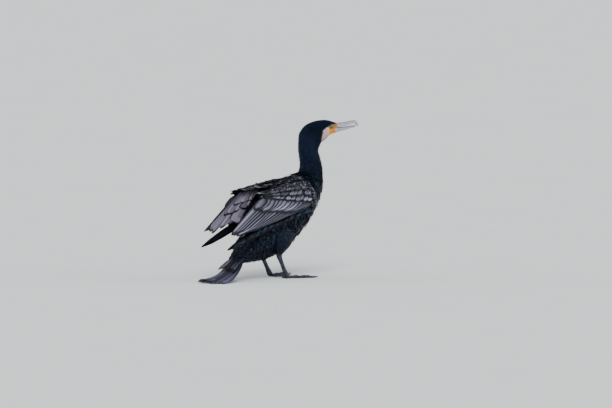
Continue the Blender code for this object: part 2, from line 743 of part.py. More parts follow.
def roof(way):
    """The long feathers of the shoulder and upper arm, one behind the other along the wing's upper edge."""
    vanes = []
    for count, first, last, run, half_width, facing in ROOF_ROWS:
        for share in np.linspace(0, 1, count):
            root = np.array(first) * (1 - share) + np.array(last) * share
            vanes.append(lone_vane(root, root + np.array(run), half_width, way, np.array(facing), ROOF_LIFT))
    return vanes


def primaries(way):
    """The stack of primaries under the folded secondaries, each one further in than the one before."""
    vanes = []
    for share in np.linspace(0, 1, PRIMARIES):
        root, tip = along_rows(PRIMARY_ROOTS, share), along_rows(PRIMARY_TIPS, share)
        vanes.append(lone_vane(root, tip, PRIMARY_HALF, way, np.array((0, 1, 0)), PRIMARY_LIFT, LONG_VANE))
    return vanes


def wing(side, way, torso):
    arm = arm_panel("wing_arm_" + side, way)
    rows = [(x, way * y, z, fore, across) for x, y, z, fore, across in HAND]
    hand = tube("wing_hand_" + side, rows, "wing_plumage", HAND_SIDES)
    cut(hand, grown(arm))
    sizes = (SECONDARIES, SECONDARY_ROOTS, SECONDARY_TIPS, SECONDARY_HALF)
    secondaries = tier(*sizes, way, OUTWARDS, SECONDARY_LIFT)
    joined(arm, secondaries + coverts(way) + roof(way))
    cut(arm, grown(torso))
    joined(hand, primaries(way))


def tail(torso):
    """The tail's root with its feathers: the middle pair lies on top, and each further one under its neighbour."""
    rear = body_piece("tail", TAIL_ROOT, 0, len(TAIL_ROOT) - 1, len(TAIL_ROOT), TAIL_SIDES)
    cut(rear, grown(torso))
    long_sizes = (TAIL_PAIRS, TAIL_ROOTS, TAIL_TIPS, TAIL_HALF)
    short_sizes = (TAIL_COVERT_PAIRS, *TAIL_COVERTS, TAIL_COVERT_HALF)
    vanes = []
    for way in SIDES.values():
        vanes += tier(*long_sizes, way, UPWARDS, TAIL_LIFT, bow=TAIL_BOW, top=way > 0)
        vanes += tier(*short_sizes, way, UPWARDS, COVERT_LIFT, shape=SHORT_VANE, ridge=0, top=way > 0)
    joined(rear, vanes)


def centre_on_floor():
    """Moves the bird so that the middle of its box is over the origin."""
    bpy.context.view_layer.update()
    solids = [o for o in bpy.data.objects if o.type == "MESH"]
    points = np.array([o.matrix_world @ v.co for o in solids for v in o.data.vertices])
    middle = (points.min(0) + points.max(0)) / 2
    for obj in bpy.data.objects:
        if obj.parent is None:
            obj.location.x -= middle[0]
            obj.location.y -= middle[1]


def main():
    clear_scene()
    torso = trunk_and_neck()
    head()
    for side, way in SIDES.items():
        leg(side, way, torso)
        wing(side, way, torso)
    tail(torso)
    centre_on_floor()


main()
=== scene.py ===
"""The looks of a great cormorant standing on a plain floor: one skin under a coat of small feathers, flight
feathers in tiers, and separate eyes, bill, scaled legs and claws."""

import math

import bmesh
import bpy
import numpy as np
from mathutils import Matrix, Vector
from mathutils.bvhtree import BVHTree


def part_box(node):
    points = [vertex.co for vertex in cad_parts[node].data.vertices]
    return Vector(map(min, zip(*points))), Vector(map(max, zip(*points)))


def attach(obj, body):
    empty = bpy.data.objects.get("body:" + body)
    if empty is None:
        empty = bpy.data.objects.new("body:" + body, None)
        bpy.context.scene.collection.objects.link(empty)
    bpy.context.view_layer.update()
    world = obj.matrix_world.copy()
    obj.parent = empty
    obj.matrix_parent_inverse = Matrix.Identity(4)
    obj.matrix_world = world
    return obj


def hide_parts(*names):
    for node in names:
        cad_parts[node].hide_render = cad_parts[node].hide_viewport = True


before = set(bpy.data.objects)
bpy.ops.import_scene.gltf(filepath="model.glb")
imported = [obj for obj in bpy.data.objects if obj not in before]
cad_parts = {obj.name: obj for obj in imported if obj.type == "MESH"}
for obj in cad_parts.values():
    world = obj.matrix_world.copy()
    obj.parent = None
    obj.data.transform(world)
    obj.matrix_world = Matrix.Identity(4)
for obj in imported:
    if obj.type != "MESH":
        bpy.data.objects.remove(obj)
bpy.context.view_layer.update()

# The room
# A pale, even studio floor under three soft lights. A long lens at the height of the bird's back looks at it
# from behind its right side.
for left_over in [o for o in bpy.data.objects if o.type in ("LIGHT", "CAMERA")]:
    bpy.data.objects.remove(left_over)

TORSO_TO_MIDLINE = 0.17623
MIDLINE = Vector((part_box("torso")[0].x + TORSO_TO_MIDLINE, 0, 0))
LENS_WAY, LENS_HEIGHT, LENS_FAR = math.radians(-38), math.radians(5), 14.0
PHOTO_WIDTH = 612 * 0.0029
SENSOR = 36
AIM_RIGHT, AIM_UP = 0.0667, 0.2117
level_share = math.cos(LENS_HEIGHT)
right = Vector((math.cos(LENS_WAY), math.sin(LENS_WAY), 0))
behind = Vector((math.sin(LENS_WAY) * level_share, -math.cos(LENS_WAY) * level_share, math.sin(LENS_HEIGHT)))
aim = MIDLINE + right * AIM_RIGHT + behind.cross(right) * AIM_UP
camera = bpy.data.objects.new("camera", bpy.data.cameras.new("camera"))
camera.data.sensor_width = SENSOR
camera.data.lens = SENSOR * LENS_FAR / PHOTO_WIDTH
camera.data.clip_end = 300
camera.location = aim + behind * LENS_FAR
camera.rotation_euler = behind.to_track_quat("Z", "Y").to_euler()
bpy.context.scene.collection.objects.link(camera)
bpy.context.scene.camera = camera

world = bpy.data.worlds.new("studio")
world.use_nodes = True
backdrop = world.node_tree.nodes["Background"].inputs
backdrop["Color"].default_value = (0.88, 0.92, 0.97, 1)
backdrop["Strength"].default_value = 0.62
bpy.context.scene.world = world
BIRD_MIDDLE = Vector((0, 0, 0.22))


def light(name, place, energy, colour, softness):
    """A broad lamp at a place, turned to the middle of the bird. Its softness is in degrees."""
    lamp = bpy.data.lights.new(name, "SUN")
    lamp.energy, lamp.color, lamp.angle = energy, colour, math.radians(softness)
    holder = bpy.data.objects.new(name, lamp)
    holder.location = place
    holder.rotation_euler = (Vector(place) - BIRD_MIDDLE).to_track_quat("Z", "Y").to_euler()
    bpy.context.scene.collection.objects.link(holder)


light("sky_panel", (-1.1, -1.7, 2.8), 2.4, (1.0, 0.99, 0.97), 35)
light("blue_panel", (-1.9, 1.6, 1.2), 1.1, (0.70, 0.84, 1.0), 50)
light("front_panel", (1.9, -1.5, 0.9), 1.3, (0.88, 0.93, 1.0), 40)


class Wire:
    """A shader socket that takes plain arithmetic. Each expression adds its Math node."""

    def __init__(self, paint, socket):
        self.paint, self.socket = paint, socket

    def maths(self, operation, *others):
        places = dict(enumerate((self, *others)))
        return self.paint.node("Math", {"operation": operation}, places)["Value"]

    def __add__(self, other):
        return self.maths("ADD", other)

    def __sub__(self, other):
        return self.maths("SUBTRACT", other)

    def __rsub__(self, other):
        return self * -1 + other

    def __mul__(self, other):
        return self.maths("MULTIPLY", other)

    def __truediv__(self, other):
        return self.maths("DIVIDE", other)

    def __pow__(self, other):
        return self.maths("POWER", other)

    def __abs__(self):
        return self.maths("ABSOLUTE")

    __radd__, __rmul__ = __add__, __mul__

    def between(self, low, high):
        """0 below low and 1 above high, with a soft step between them, or the other way round."""
        places = {"Value": self, "From Min": min(low, high), "From Max": max(low, high)}
        places.update({"To Min": float(low > high), "To Max": float(high > low)})
        return self.paint.node("MapRange", {"interpolation_type": "SMOOTHSTEP"}, places)["Result"]


class Paint:
    """A material's node tree. node() adds any node from its type, its settings and what its sockets take."""

    def __init__(self, name):
        self.material = bpy.data.materials.new(name)
        self.material.use_nodes = True
        self.tree = self.material.node_tree
        self.shader = self.tree.nodes["Principled BSDF"]

    def node(self, kind, settings, sockets):
        made = self.tree.nodes.new("ShaderNode" + kind)
        for key, value in settings.items():
            setattr(made, key, value)
        for key, value in sockets.items():
            self.fill(made.inputs[key], value)
        return {o.identifier: Wire(self, o) for o in made.outputs}

    def fill(self, socket, value):
        if isinstance(value, Wire):
            self.tree.links.new(value.socket, socket)
        elif isinstance(value, tuple) and len(value) == 3 and socket.type == "RGBA":
            socket.default_value = (*value, 1)
        else:
            socket.default_value = value

    def set(self, **sockets):
        for name, value in sockets.items():
            self.fill(self.shader.inputs[name.replace("_", " ")], value)
        return self

    def mix(self, share, first, second):
        return self.node("Mix", {"data_type": "RGBA"}, {0: share, 6: first, 7: second})["Result_Color"]

    def place(self):
        return self.node("TexCoord", {}, {})["Object"]

    def map(self, name):
        """The two shares of the piece's own UV map of that name."""
        split = self.node("SeparateXYZ", {}, {"Vector": self.node("UVMap", {"uv_map": name}, {})["UV"]})
        return split["X"], split["Y"]

    def attribute(self, name):
        return self.node("Attribute", {"attribute_name": name}, {})["Fac"]

    def noise(self, vector, scale, detail=3.0, stretch=(1, 1, 1)):
        laid = self.node("Mapping", {}, {"Vector": vector, "Scale": stretch})["Vector"]
        return self.node("TexNoise", {}, {"Vector": laid, "Scale": scale, "Detail": detail})["Fac"]

    def bump(self, height, distance, strength):
        sockets = {"Height": height, "Distance": distance, "Strength": strength}
        return self.node("Bump", {}, sockets)["Normal"]


FLOOR_HALF = 80
floor_paint = Paint("studio_floor")
floor_grain = floor_paint.noise(floor_paint.place(), 3.0)
floor_colour = floor_paint.mix(floor_grain, (0.79, 0.79, 0.775), (0.83, 0.83, 0.815))
floor_mesh = bmesh.new()
bmesh.ops.create_grid(floor_mesh, x_segments=1, y_segments=1, size=FLOOR_HALF)
floor_data = bpy.data.meshes.new("floor")
floor_mesh.to_mesh(floor_data)
floor_data.materials.append(floor_paint.set(Base_Color=floor_colour, Roughness=0.85).material)
floor = bpy.data.objects.new("floor", floor_data)
bpy.context.scene.collection.objects.link(floor)

# The skin
# One closed skin runs from the root of the tail over the trunk, the neck and the head to the bill's root. The
# thighs and the flat of each folded wing are grown together with it. It lies under the coat by the coat's
# depth.
RING = 2 * math.pi
SIDES = {"left": 1, "right": -1}
# Along the body: x, z, reach to the back, reach to the belly, half width, the raise of the section's axis
TRUNK = [
    (-0.168, 0.063, 0.012, 0.016, 0.028, 44),
    (-0.143, 0.084, 0.024, 0.042, 0.040, 42),
    (-0.106, 0.112, 0.042, 0.069, 0.051, 40),
    (-0.062, 0.147, 0.058, 0.086, 0.058, 39),
    (-0.015, 0.184, 0.069, 0.087, 0.061, 39),
    (0.030, 0.219, 0.073, 0.078, 0.061, 42),
    (0.066, 0.248, 0.064, 0.061, 0.057, 50),
    (0.089, 0.272, 0.050, 0.046, 0.048, 62),
    (0.100, 0.293, 0.0355, 0.036, 0.038, 76),
    (0.103, 0.314, 0.033, 0.033, 0.0325, 88),
    (0.099, 0.338, 0.0315, 0.0300, 0.0295, 94),
    (0.0945, 0.362, 0.0315, 0.0285, 0.028, 93),
    (0.094, 0.385, 0.0315, 0.0380, 0.027, 90),
]
NECK_X = TRUNK[-1][0]
# The same along the head, with x counted from the neck
HEAD = [
    (0.002, 0.403, 0.0318, 0.0437, 0.0262, 72),
    (0.014, 0.416, 0.0318, 0.0409, 0.0252, 50),
    (0.034, 0.421, 0.0312, 0.0327, 0.0238, 29),
    (0.052, 0.424, 0.0287, 0.0245, 0.0215, 17),
    (0.067, 0.4265, 0.0240, 0.0190, 0.0187, 13),
    (0.079, 0.4275, 0.0188, 0.0163, 0.0155, 12),
    (0.0895, 0.4285, 0.0133, 0.0143, 0.0122, 12),
]
# The same along the root of the tail
TAIL_ROOT = [
    (-0.146, 0.080, 0.014, 0.014, 0.026, 44),
    (-0.166, 0.0625, 0.011, 0.012, 0.030, 44),
    (-0.182, 0.0480, 0.006, 0.007, 0.033, 41),
    (-0.194, 0.0380, 0.002, 0.003, 0.034, 38),
]
BODY_LINE = np.array(TRUNK + [(NECK_X + row[0], *row[1:]) for row in HEAD])
BODY_END = len(BODY_LINE) - 1
UP_TO_NECK = 10
HEAD_TURN = math.radians(-13)
TURN_FROM, TURN_TO = 10.3, 13.2
# Rows of the body, and how deep the skin lies under the coat there
COAT_DEPTHS = ((0, 6, 8, 11, 14, 17, 19), (0.0035, 0.0045, 0.0030, 0.0020, 0.0016, 0.0010, 0.0006))
# Rows for the left limbs: x, y, z, the radius fore and aft, and the radius across
THIGH = [
    (-0.030, 0.034, 0.150, 0.037, 0.023),
    (-0.034, 0.040, 0.125, 0.035, 0.022),
    (-0.038, 0.042, 0.104, 0.027, 0.017),
    (-0.043, 0.042, 0.088, 0.017, 0.011),
    (-0.046, 0.042, 0.0765, 0.0095, 0.0075),
    (-0.047, 0.042, 0.071, 0.0065, 0.0055),
]
HAND = [
    (0.057, 0.0710, 0.204, 0.0050, 0.0035),
    (0.046, 0.0720, 0.201, 0.0075, 0.0045),
    (0.010, 0.0715, 0.197, 0.0075, 0.0045),
    (-0.030, 0.0705, 0.192, 0.0065, 0.0040),
    (-0.056, 0.0685, 0.188, 0.0035, 0.0025),
]
# The upper and the lower edge of the left arm's flat, from the shoulder to the elbow, and its half thickness
ARM_UPPER = [
    (0.072, 0.044, 0.269),
    (0.040, 0.048, 0.278),
    (0.000, 0.053, 0.277),
    (-0.045, 0.057, 0.269),
    (-0.090, 0.060, 0.260),
    (-0.122, 0.061, 0.252),
]
ARM_LOWER = [
    (0.070, 0.072, 0.222),
    (0.046, 0.077, 0.208),
    (0.004, 0.076, 0.212),
    (-0.042, 0.073, 0.220),
    (-0.086, 0.068, 0.230),
    (-0.120, 0.064, 0.240),
]
ARM_THICKNESS = [(0.0045,), (0.0060,), (0.0060,), (0.0050,), (0.0040,), (0.0025,)]
THIGH_END, HAND_END, ARM_END = len(THIGH) - 1, len(HAND) - 1, len(ARM_UPPER) - 1
# The skin's rings lie closer on the neck, and closest on the head: shares of the rings, then body rows
SKIN_AROUND, SKIN_ALONG = 96, 230
SKIN_ROWS = ((0, 0.40, 0.50, 0.62, 1), (0, 8.0, 12.0, 15.0, BODY_END))


def follow(rows, t):
    """Reads rows of numbers at the places t, counted in rows from 0, along a smooth curve through them."""
    rows = np.asarray(rows, float)
    last = len(rows) - 1
    t = np.clip(np.atleast_1d(np.asarray(t, float)), 0, last)
    k = np.minimum(t.astype(int), last - 1)
    f = (t - k)[:, None]
    before, here, there, after = (rows[np.clip(k + j, 0, last)] for j in (-1, 0, 1, 2))
    bend = (2 * before - 5 * here + 4 * there - after) * f**2
    return 0.5 * (2 * here + (there - before) * f + bend + (3 * here - before - 3 * there + after) * f**3)


def soft_step(x, low, high):
    """0 at low and 1 at high, whichever of them is the greater."""
    share = np.clip((x - low) / (high - low), 0, 1)
    return share * share * (3 - 2 * share)


def unit(vectors):
    return vectors / np.maximum(np.linalg.norm(vectors, axis=-1, keepdims=True), 1e-12)


def body_place(t, angle, depth, rows=BODY_LINE):
    """Points on the body at the places t, turned by angle from the back, at a depth under the feathers."""
    x, z, back, belly, half, raised = follow(rows, t).T
    lean = np.radians(raised)
    up = np.cos(angle)
    up = up * (np.where(up > 0, back, belly) - depth)
    side = np.sin(angle) * (half - depth)
    turn = HEAD_TURN * soft_step(t, TURN_FROM, TURN_TO)
    ahead = x - up * np.sin(lean) - NECK_X
    placed_x = NECK_X + ahead * np.cos(turn) - side * np.sin(turn)
    placed_y = ahead * np.sin(turn) + side * np.cos(turn)
    return np.stack([placed_x, placed_y, z + up * np.cos(lean)], -1) + MIDLINE


def in_head(points):
    """Where points are in the head's own frame: ahead of the neck, to the left, and up."""
    x, y = points[:, 0] - MIDLINE.x - NECK_X, points[:, 1]
    c, s = math.cos(HEAD_TURN), math.sin(HEAD_TURN)
    return np.stack([x * c + y * s, y * c - x * s, points[:, 2]], -1)


def out_of_head(points):
    x, y = points[:, 0], points[:, 1]
    c, s = math.cos(HEAD_TURN), math.sin(HEAD_TURN)
    return np.stack([x * c - y * s + NECK_X + MIDLINE.x, x * s + y * c, points[:, 2]], -1)


def limb_place(rows, t, angle, way):
    """Points round a limb, on the left for way 1 and on the right for way -1."""
    here = follow(rows, t)
    along = unit(follow(rows, np.asarray(t) + 0.05)[:, :3] - follow(rows, np.asarray(t) - 0.05)[:, :3])
    side = np.where(np.abs(along[:, :1]) < 0.8, (1.0, 0.0, 0.0), (0.0, 0.0, 1.0))
    across = unit(np.cross(side, along))
    fore = np.cross(along, across)
    round_it = fore * np.cos(angle)[:, None] * here[:, 3:4] + across * np.sin(angle)[:, None] * here[:, 4:5]
    return (here[:, :3] + round_it) * (1, way, 1) + MIDLINE


def arm_place(t, angle, way, lift=0.0):
    """Points on the folded arm: t runs from shoulder to elbow, and the angle from the upper edge over the
    outer face to the lower edge."""
    upper, lower = follow(ARM_UPPER, t), follow(ARM_LOWER, t)
    middle, half = (upper + lower) / 2, (upper - lower) / 2
    out = unit(np.cross((-1.0, 0.0, 0.0), half))
    angle = np.asarray(angle)[..., None]
    thick = follow(ARM_THICKNESS, t) * np.sin(angle)
    return (middle + half * np.cos(angle) + out * (thick + lift)) * (1, way, 1) + MIDLINE


def new_object(name, bm):
    """Turns a bmesh into an object of that name, smooth, with its faces outwards."""
    bmesh.ops.recalc_face_normals(bm, faces=bm.faces)
    mesh = bpy.data.meshes.new(name)
    bm.to_mesh(mesh)
    bm.free()
    mesh.shade_smooth()
    obj = bpy.data.objects.new(name, mesh)
    bpy.context.scene.collection.objects.link(obj)
    return obj


def rolled(name, around, along, place, shown=None):
    """A grid rolled up into a closed tube: place(turn, share) gives the points, and both ends are filled. A
    UV map may show the turn and the share."""
    bm = bmesh.new()
    bmesh.ops.create_grid(bm, x_segments=around, y_segments=along, size=0.5)
    shares = np.array([v.co for v in bm.verts])[:, :2] + 0.5
    if shown:
        layer = bm.loops.layers.uv.new(shown)
        for loop in [loop for face in bm.faces for loop in face.loops]:
            loop[layer].uv = shares[loop.vert.index]
    for vert, point in zip(bm.verts, place(shares[:, 0], shares[:, 1])):
        vert.co = point
    bmesh.ops.remove_doubles(bm, verts=bm.verts, dist=1e-6)
    bmesh.ops.holes_fill(bm, edges=[e for e in bm.edges if e.is_boundary])
    return new_object(name, bm)


def grown_together(obj, parts):
    """Fuses closed parts into obj by one Boolean union, and removes them."""
    bunch = bpy.data.collections.new(obj.name + "_parts")
    bpy.context.scene.collection.children.link(bunch)
    for part in parts:
        bpy.context.scene.collection.objects.unlink(part)
        bunch.objects.link(part)
    union = obj.modifiers.new("union", "BOOLEAN")
    union.operation = "UNION"
    union.operand_type = "COLLECTION"
    union.collection = bunch
    union.solver = "MANIFOLD"
    fused = bpy.data.meshes.new_from_object(obj.evaluated_get(bpy.context.evaluated_depsgraph_get()))
    obj.modifiers.clear()
    obj.data = fused
    fused.shade_smooth()
    for part in parts:
        bpy.data.objects.remove(part)
    bpy.data.collections.remove(bunch)


def finished(obj, paint, slot, *replaced):
    """Gives a piece its paint, the body that it rides on and the nodes that it replaces. Its slot is not
    used.
    """
    obj.data.materials.clear()
    obj.data.materials.append(paint.material)
    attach(obj, "root")
    if replaced:
        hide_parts(*replaced)


def skin_place(turn, share):
    t = np.interp(share, *SKIN_ROWS)
    return body_place(t, turn * RING, np.interp(t, *COAT_DEPTHS))


skin = rolled("skin", SKIN_AROUND, SKIN_ALONG, skin_place)
limbs = [rolled("rump", 40, 12, lambda turn, share: body_place(share * 3, turn * RING, 0, TAIL_ROOT))]
for way in SIDES.values():
    limbs += [
        rolled("thigh", 32, 24, lambda turn, share: limb_place(THIGH, share * THIGH_END, turn * RING, way)),
        rolled("arm", 48, 40, lambda turn, share: arm_place(share * ARM_END, turn * RING, way)),
        rolled("hand", 20, 24, lambda turn, share: limb_place(HAND, share * HAND_END, turn * RING, way)),
    ]
grown_together(skin, limbs)

# The face
# Bare, finely wrinkled and warty skin covers the throat, the gape and the lores, and rings the eye. It folds
# lengthways under the throat, and a band of pale feathers lies behind it.
EYE = np.array((0.0660, 0.0148, 0.4310))
# Lines round the bare and the pale parts: heights, then how far ahead of the neck. BARE_BELOW has them the
# other way round, and GAPE is two points, each how far ahead and how high.
BARE_FROM = ((0.395, 0.4045, 0.415, 0.427, 0.432), (0.068, 0.0626, 0.0572, 0.0553, 0.0545))
PALE_FROM = ((0.388, 0.402, 0.4125, 0.4228, 0.4272, 0.432), (0.040, 0.0375, 0.0400, 0.0412, 0.0470, 0.0560))
BARE_BELOW = (
    (0.052, 0.058, 0.062, 0.067, 0.075, 0.083, 0.0895),
    (0.4280, 0.4340, 0.4372, 0.4386, 0.4388, 0.4396, 0.4416),
)
GAPE = ((0.0625, 0.4205), (0.0900, 0.4282))
# The skin's faces are cut once ahead of the first place, and its bare ones again ahead of the second
FINER_FROM = (0.045, 0.058)


def bare_share(points):
    """How bare the skin is at points of the head, from 0 to 1."""
    x, _, z = in_head(points).T
    ahead = soft_step(x - np.interp(z, *BARE_FROM), -0.0008, 0.0008)
    below = soft_step(np.interp(x, *BARE_BELOW) - z, -0.0006, 0.0006)
    round_eye = soft_step(np.hypot(x - EYE[0], z - EYE[2]), 0.0076, 0.0066)
    return np.where(x > 0.045, np.maximum(ahead * below, round_eye * (z > 0.42)), 0)


def pale_share(points):
    """How pale the feathers are at points of the bird, from 0 to 1."""
    x, y, z = in_head(points).T
    wander = 0.0008 * np.sin(z * 900 + 2 * np.sin(y * 700)) + 0.0005 * np.sin(z * 2300 + y * 1700)
    ahead = soft_step(x - np.interp(z, *PALE_FROM) + wander, -0.0036, 0.0024)
    below = soft_step(0.4325 - z + wander, -0.001, 0.001)
    return ahead * below * (x > 0.03) * (z > 0.375) * (1 - bare_share(points))


def horny_share(points):
    """How horny the skin is at points of the head, from 0 to 1. The bill's lower half runs back over it."""
    x, _, z = in_head(points).T
    ahead = soft_step(x - 0.30 * np.abs(z - 0.4215), 0.0748, 0.0815)
    return ahead * soft_step(z, 0.4140, 0.4175) * soft_step(z, 0.4276, 0.4255)


def bell(distance, width):
    return np.exp(-((distance / width) ** 2))


def face_form(points):
    """How far the face stands out at points of the head: brow, socket, lore, gape, folds, warts and lip."""
    x, y, z = in_head(points).T
    from_eye = np.hypot(x - EYE[0], z - EYE[2])
    socket = 0.0007 * bell(from_eye - 0.0072, 0.0016) - 0.0050 * soft_step(from_eye, 0.0056, 0.0040)
    brow = 0.0008 * bell(z - 0.4405 + (x - 0.066) * 0.15, 0.0016)
    brow *= soft_step(x, 0.052, 0.060) * soft_step(x, 0.084, 0.076)
    lore = -0.0007 * bell(z - 0.4325, 0.0024) * soft_step(x, 0.073, 0.078)
    (x0, z0), (x1, z1) = GAPE
    line = z0 + (x - x0) * (z1 - z0) / (x1 - x0)
    gape = -0.0011 * bell(z - line, 0.00055) * soft_step(x, x0 - 0.002, x0 + 0.003)
    folds = np.sin(y * 2100 + 3 * np.sin(x * 160)) + 0.5 * np.sin(y * 3400 + x * 500)
    folds *= 0.00036 * soft_step(line - z, 0.003, 0.008) * soft_step(x, 0.050, 0.060)
    warts = np.sin(x * 3600 + 2 * np.sin(z * 1900)) * np.sin(z * 3900 + 2 * np.sin(x * 2100))
    lift = (socket + brow + lore + gape) * soft_step(np.abs(y), 0.006, 0.010) + folds
    lift += 0.00020 * warts * bare_share(points)
    lip = 0.0009 * soft_step(x, 0.0800, 0.0850) - 0.0040 * soft_step(x, 0.0862, 0.0895)
    return lift * soft_step(x, 0.0850, 0.0800) + lip


face = bmesh.new()
face.from_mesh(skin.data)
for fine_from in FINER_FROM:
    corners = np.array([v.co for v in face.verts])
    where = in_head(corners)
    chosen = (where[:, 0] > fine_from) & (where[:, 2] > 0.38)
    chosen &= (fine_from < 0.05) | (bare_share(corners) > 0)
    edges = [e for e in face.edges if chosen[e.verts[0].index] and chosen[e.verts[1].index]]
    bmesh.ops.subdivide_edges(face, edges=edges, cuts=1, use_grid_fill=True)
    face.verts.index_update()
bmesh.ops.triangulate(face, faces=[f for f in face.faces if len(f.verts) > 4])
face.normal_update()
corners = np.array([v.co for v in face.verts])
near_face = np.flatnonzero((in_head(corners)[:, 0] > 0.030) & (corners[:, 2] > 0.37))
face.verts.ensure_lookup_table()
normals = np.array([face.verts[k].normal for k in near_face])
for k, point in zip(near_face, corners[near_face] + normals * face_form(corners[near_face])[:, None]):
    face.verts[k].co = point
face.to_mesh(skin.data)
face.free()
skin.data.shade_smooth()


def give(mesh, name, values):
    """Puts one number for each point into the mesh, under that name."""
    held = mesh.attributes.new(name, "FLOAT", "POINT")
    held.data.foreach_set("value", np.asarray(values, np.float32))


skin_points = np.array([v.co for v in skin.data.vertices])
skin_x, skin_y, skin_z = (skin_points - np.array(MIDLINE)).T
over_axis = skin_z - np.interp(skin_x, *BODY_LINE[:UP_TO_NECK, :2].T)
on_mantle = soft_step(over_axis, 0.028, 0.034) * (skin_x < 0.070) * (skin_z < 0.30)
on_wing = soft_step(np.abs(skin_y), 0.0605, 0.0625) * (skin_z > 0.18)
give(skin.data, "bare", bare_share(skin_points))
give(skin.data, "pale", pale_share(skin_points))
give(skin.data, "horny", horny_share(skin_points))
give(skin.data, "bronzed", np.maximum(on_mantle, on_wing))
skin_paint = Paint("bare_and_feathered_skin")
spot = skin_paint.place()
bare = skin_paint.attribute("bare")
warts = skin_paint.node("TexVoronoi", {}, {"Vector": spot, "Scale": 900})["Distance"]
patches = skin_paint.noise(spot, 160)
height = skin_paint.node("SeparateXYZ", {}, {"Vector": spot})["Z"]
throat_colour = skin_paint.mix(patches.between(0.35, 0.7), (0.76, 0.225, 0.0), (0.98, 0.41, 0.0))
lore_colour = skin_paint.mix(patches.between(0.4, 0.65), (0.42, 0.19, 0.015), (0.12, 0.095, 0.045))
bare_colour = skin_paint.mix(height.between(0.424, 0.432), throat_colour, lore_colour)
dark_warts = warts.between(0.30, 0.12) * height.between(0.426, 0.433) * 0.45
bare_colour = skin_paint.mix(dark_warts, bare_colour, (0.06, 0.07, 0.05))
bare_colour = skin_paint.mix(skin_paint.attribute("horny") * 0.85, bare_colour, (0.56, 0.47, 0.52))
down = skin_paint.mix(skin_paint.attribute("bronzed"), (0.004, 0.012, 0.030), (0.045, 0.040, 0.052))
down = skin_paint.mix(skin_paint.attribute("pale"), down, (0.80, 0.66, 0.60))
skin_paint.set(
    Base_Color=skin_paint.mix(bare, down, bare_colour),
    Roughness=0.62 - bare * 0.17,
    Specular_IOR_Level=0.22,
    Normal=skin_paint.bump(warts + patches * 0.6, 0.0012, 0.75),
)
in_skin = ["torso", "neck_lower", "neck_upper", "head", "throat_skin", "tail"]
in_skin += [part + side for part in ("thigh_", "wing_arm_", "wing_hand_") for side in SIDES]
finished(skin, skin_paint, "face_skin", *in_skin)

# The eyes
# Each is a glossy ball with an emerald iris round a black pupil, set deep in a ring of dark, beaded lids.
EYE_RADIUS = 0.0062
EYE_SEGMENTS = 48
LID_REACH, LID_THICKNESS = 0.00535, 0.00105
LID_BEADS, BEAD_HEIGHT = 26, 0.00018


def eye_paint(name, middle, outwards):
    paint = Paint(name)
    ends = {0: paint.place(), 1: tuple(middle)}
    away = paint.node("VectorMath", {"operation": "SUBTRACT"}, ends)["Vector"]
    depth = paint.node("VectorMath", {"operation": "DOT_PRODUCT"}, {0: away, 1: tuple(outwards)})["Value"]
    off = depth / EYE_RADIUS
    off_axis = (1 - off * off) ** 0.5
    rays = paint.noise(away, 1400, 4.0)
    iris = paint.mix(rays.between(0.35, 0.65), (0.003, 0.080, 0.064), (0.010, 0.200, 0.155))
    iris = paint.mix(off_axis.between(0.62, 0.78), iris, (0.004, 0.030, 0.040))
    colour = paint.mix(off_axis.between(0.46, 0.43), iris, (0.001, 0.001, 0.0015))
    return paint.set(Base_Color=colour, Roughness=0.08, Coat_Weight=1.0, Coat_Roughness=0.02)


def lid_place(turn, share, way):
    """The ring of the lids, lens shaped, with beads along it."""
    angle, tube = share * RING, turn * RING
    thick = LID_THICKNESS + BEAD_HEIGHT * np.cos(angle * LID_BEADS)
    reach = LID_REACH + thick * np.cos(tube) * 1.15
    x = EYE[0] + reach * np.cos(angle)
    z = EYE[2] + reach * np.sin(angle) * np.where(np.sin(angle) > 0, 0.93, 0.90)
    bulge = 0.0186 - 0.22 * (x - EYE[0]) - 9.0 * (z - EYE[2] + 0.002) ** 2
    return out_of_head(np.stack([x, way * (bulge + thick * np.sin(tube) * 0.9), z], -1))


lid_paint = Paint("eye_lids")
lid_grain = lid_paint.noise(lid_paint.place(), 1500)
lid_colour = lid_paint.mix(lid_grain.between(0.35, 0.65), (0.02, 0.035, 0.05), (0.10, 0.11, 0.07))
lid_paint.set(Base_Color=lid_colour, Roughness=0.45, Normal=lid_paint.bump(lid_grain, 0.0004, 0.4))
for side, way in SIDES.items():
    middle = out_of_head((EYE * (1, way, 1))[None])[0]
    ball = bmesh.new()
    bmesh.ops.create_uvsphere(ball, u_segments=EYE_SEGMENTS, v_segments=EYE_SEGMENTS // 2, radius=EYE_RADIUS)
    bmesh.ops.translate(ball, verts=ball.verts, vec=Vector(middle))
    outwards = Vector((0.18, way, 0.04)).normalized()
    outwards.rotate(Matrix.Rotation(HEAD_TURN, 3, "Z"))
    paint = eye_paint("emerald_eye_" + side, middle, outwards)
    finished(new_object("eyeball_" + side, ball), paint, "eye", "eye_" + side)
    lids = rolled("lids_" + side, 10, 156, lambda turn, share: lid_place(turn, share, way))
    finished(lids, lid_paint, "face_skin")

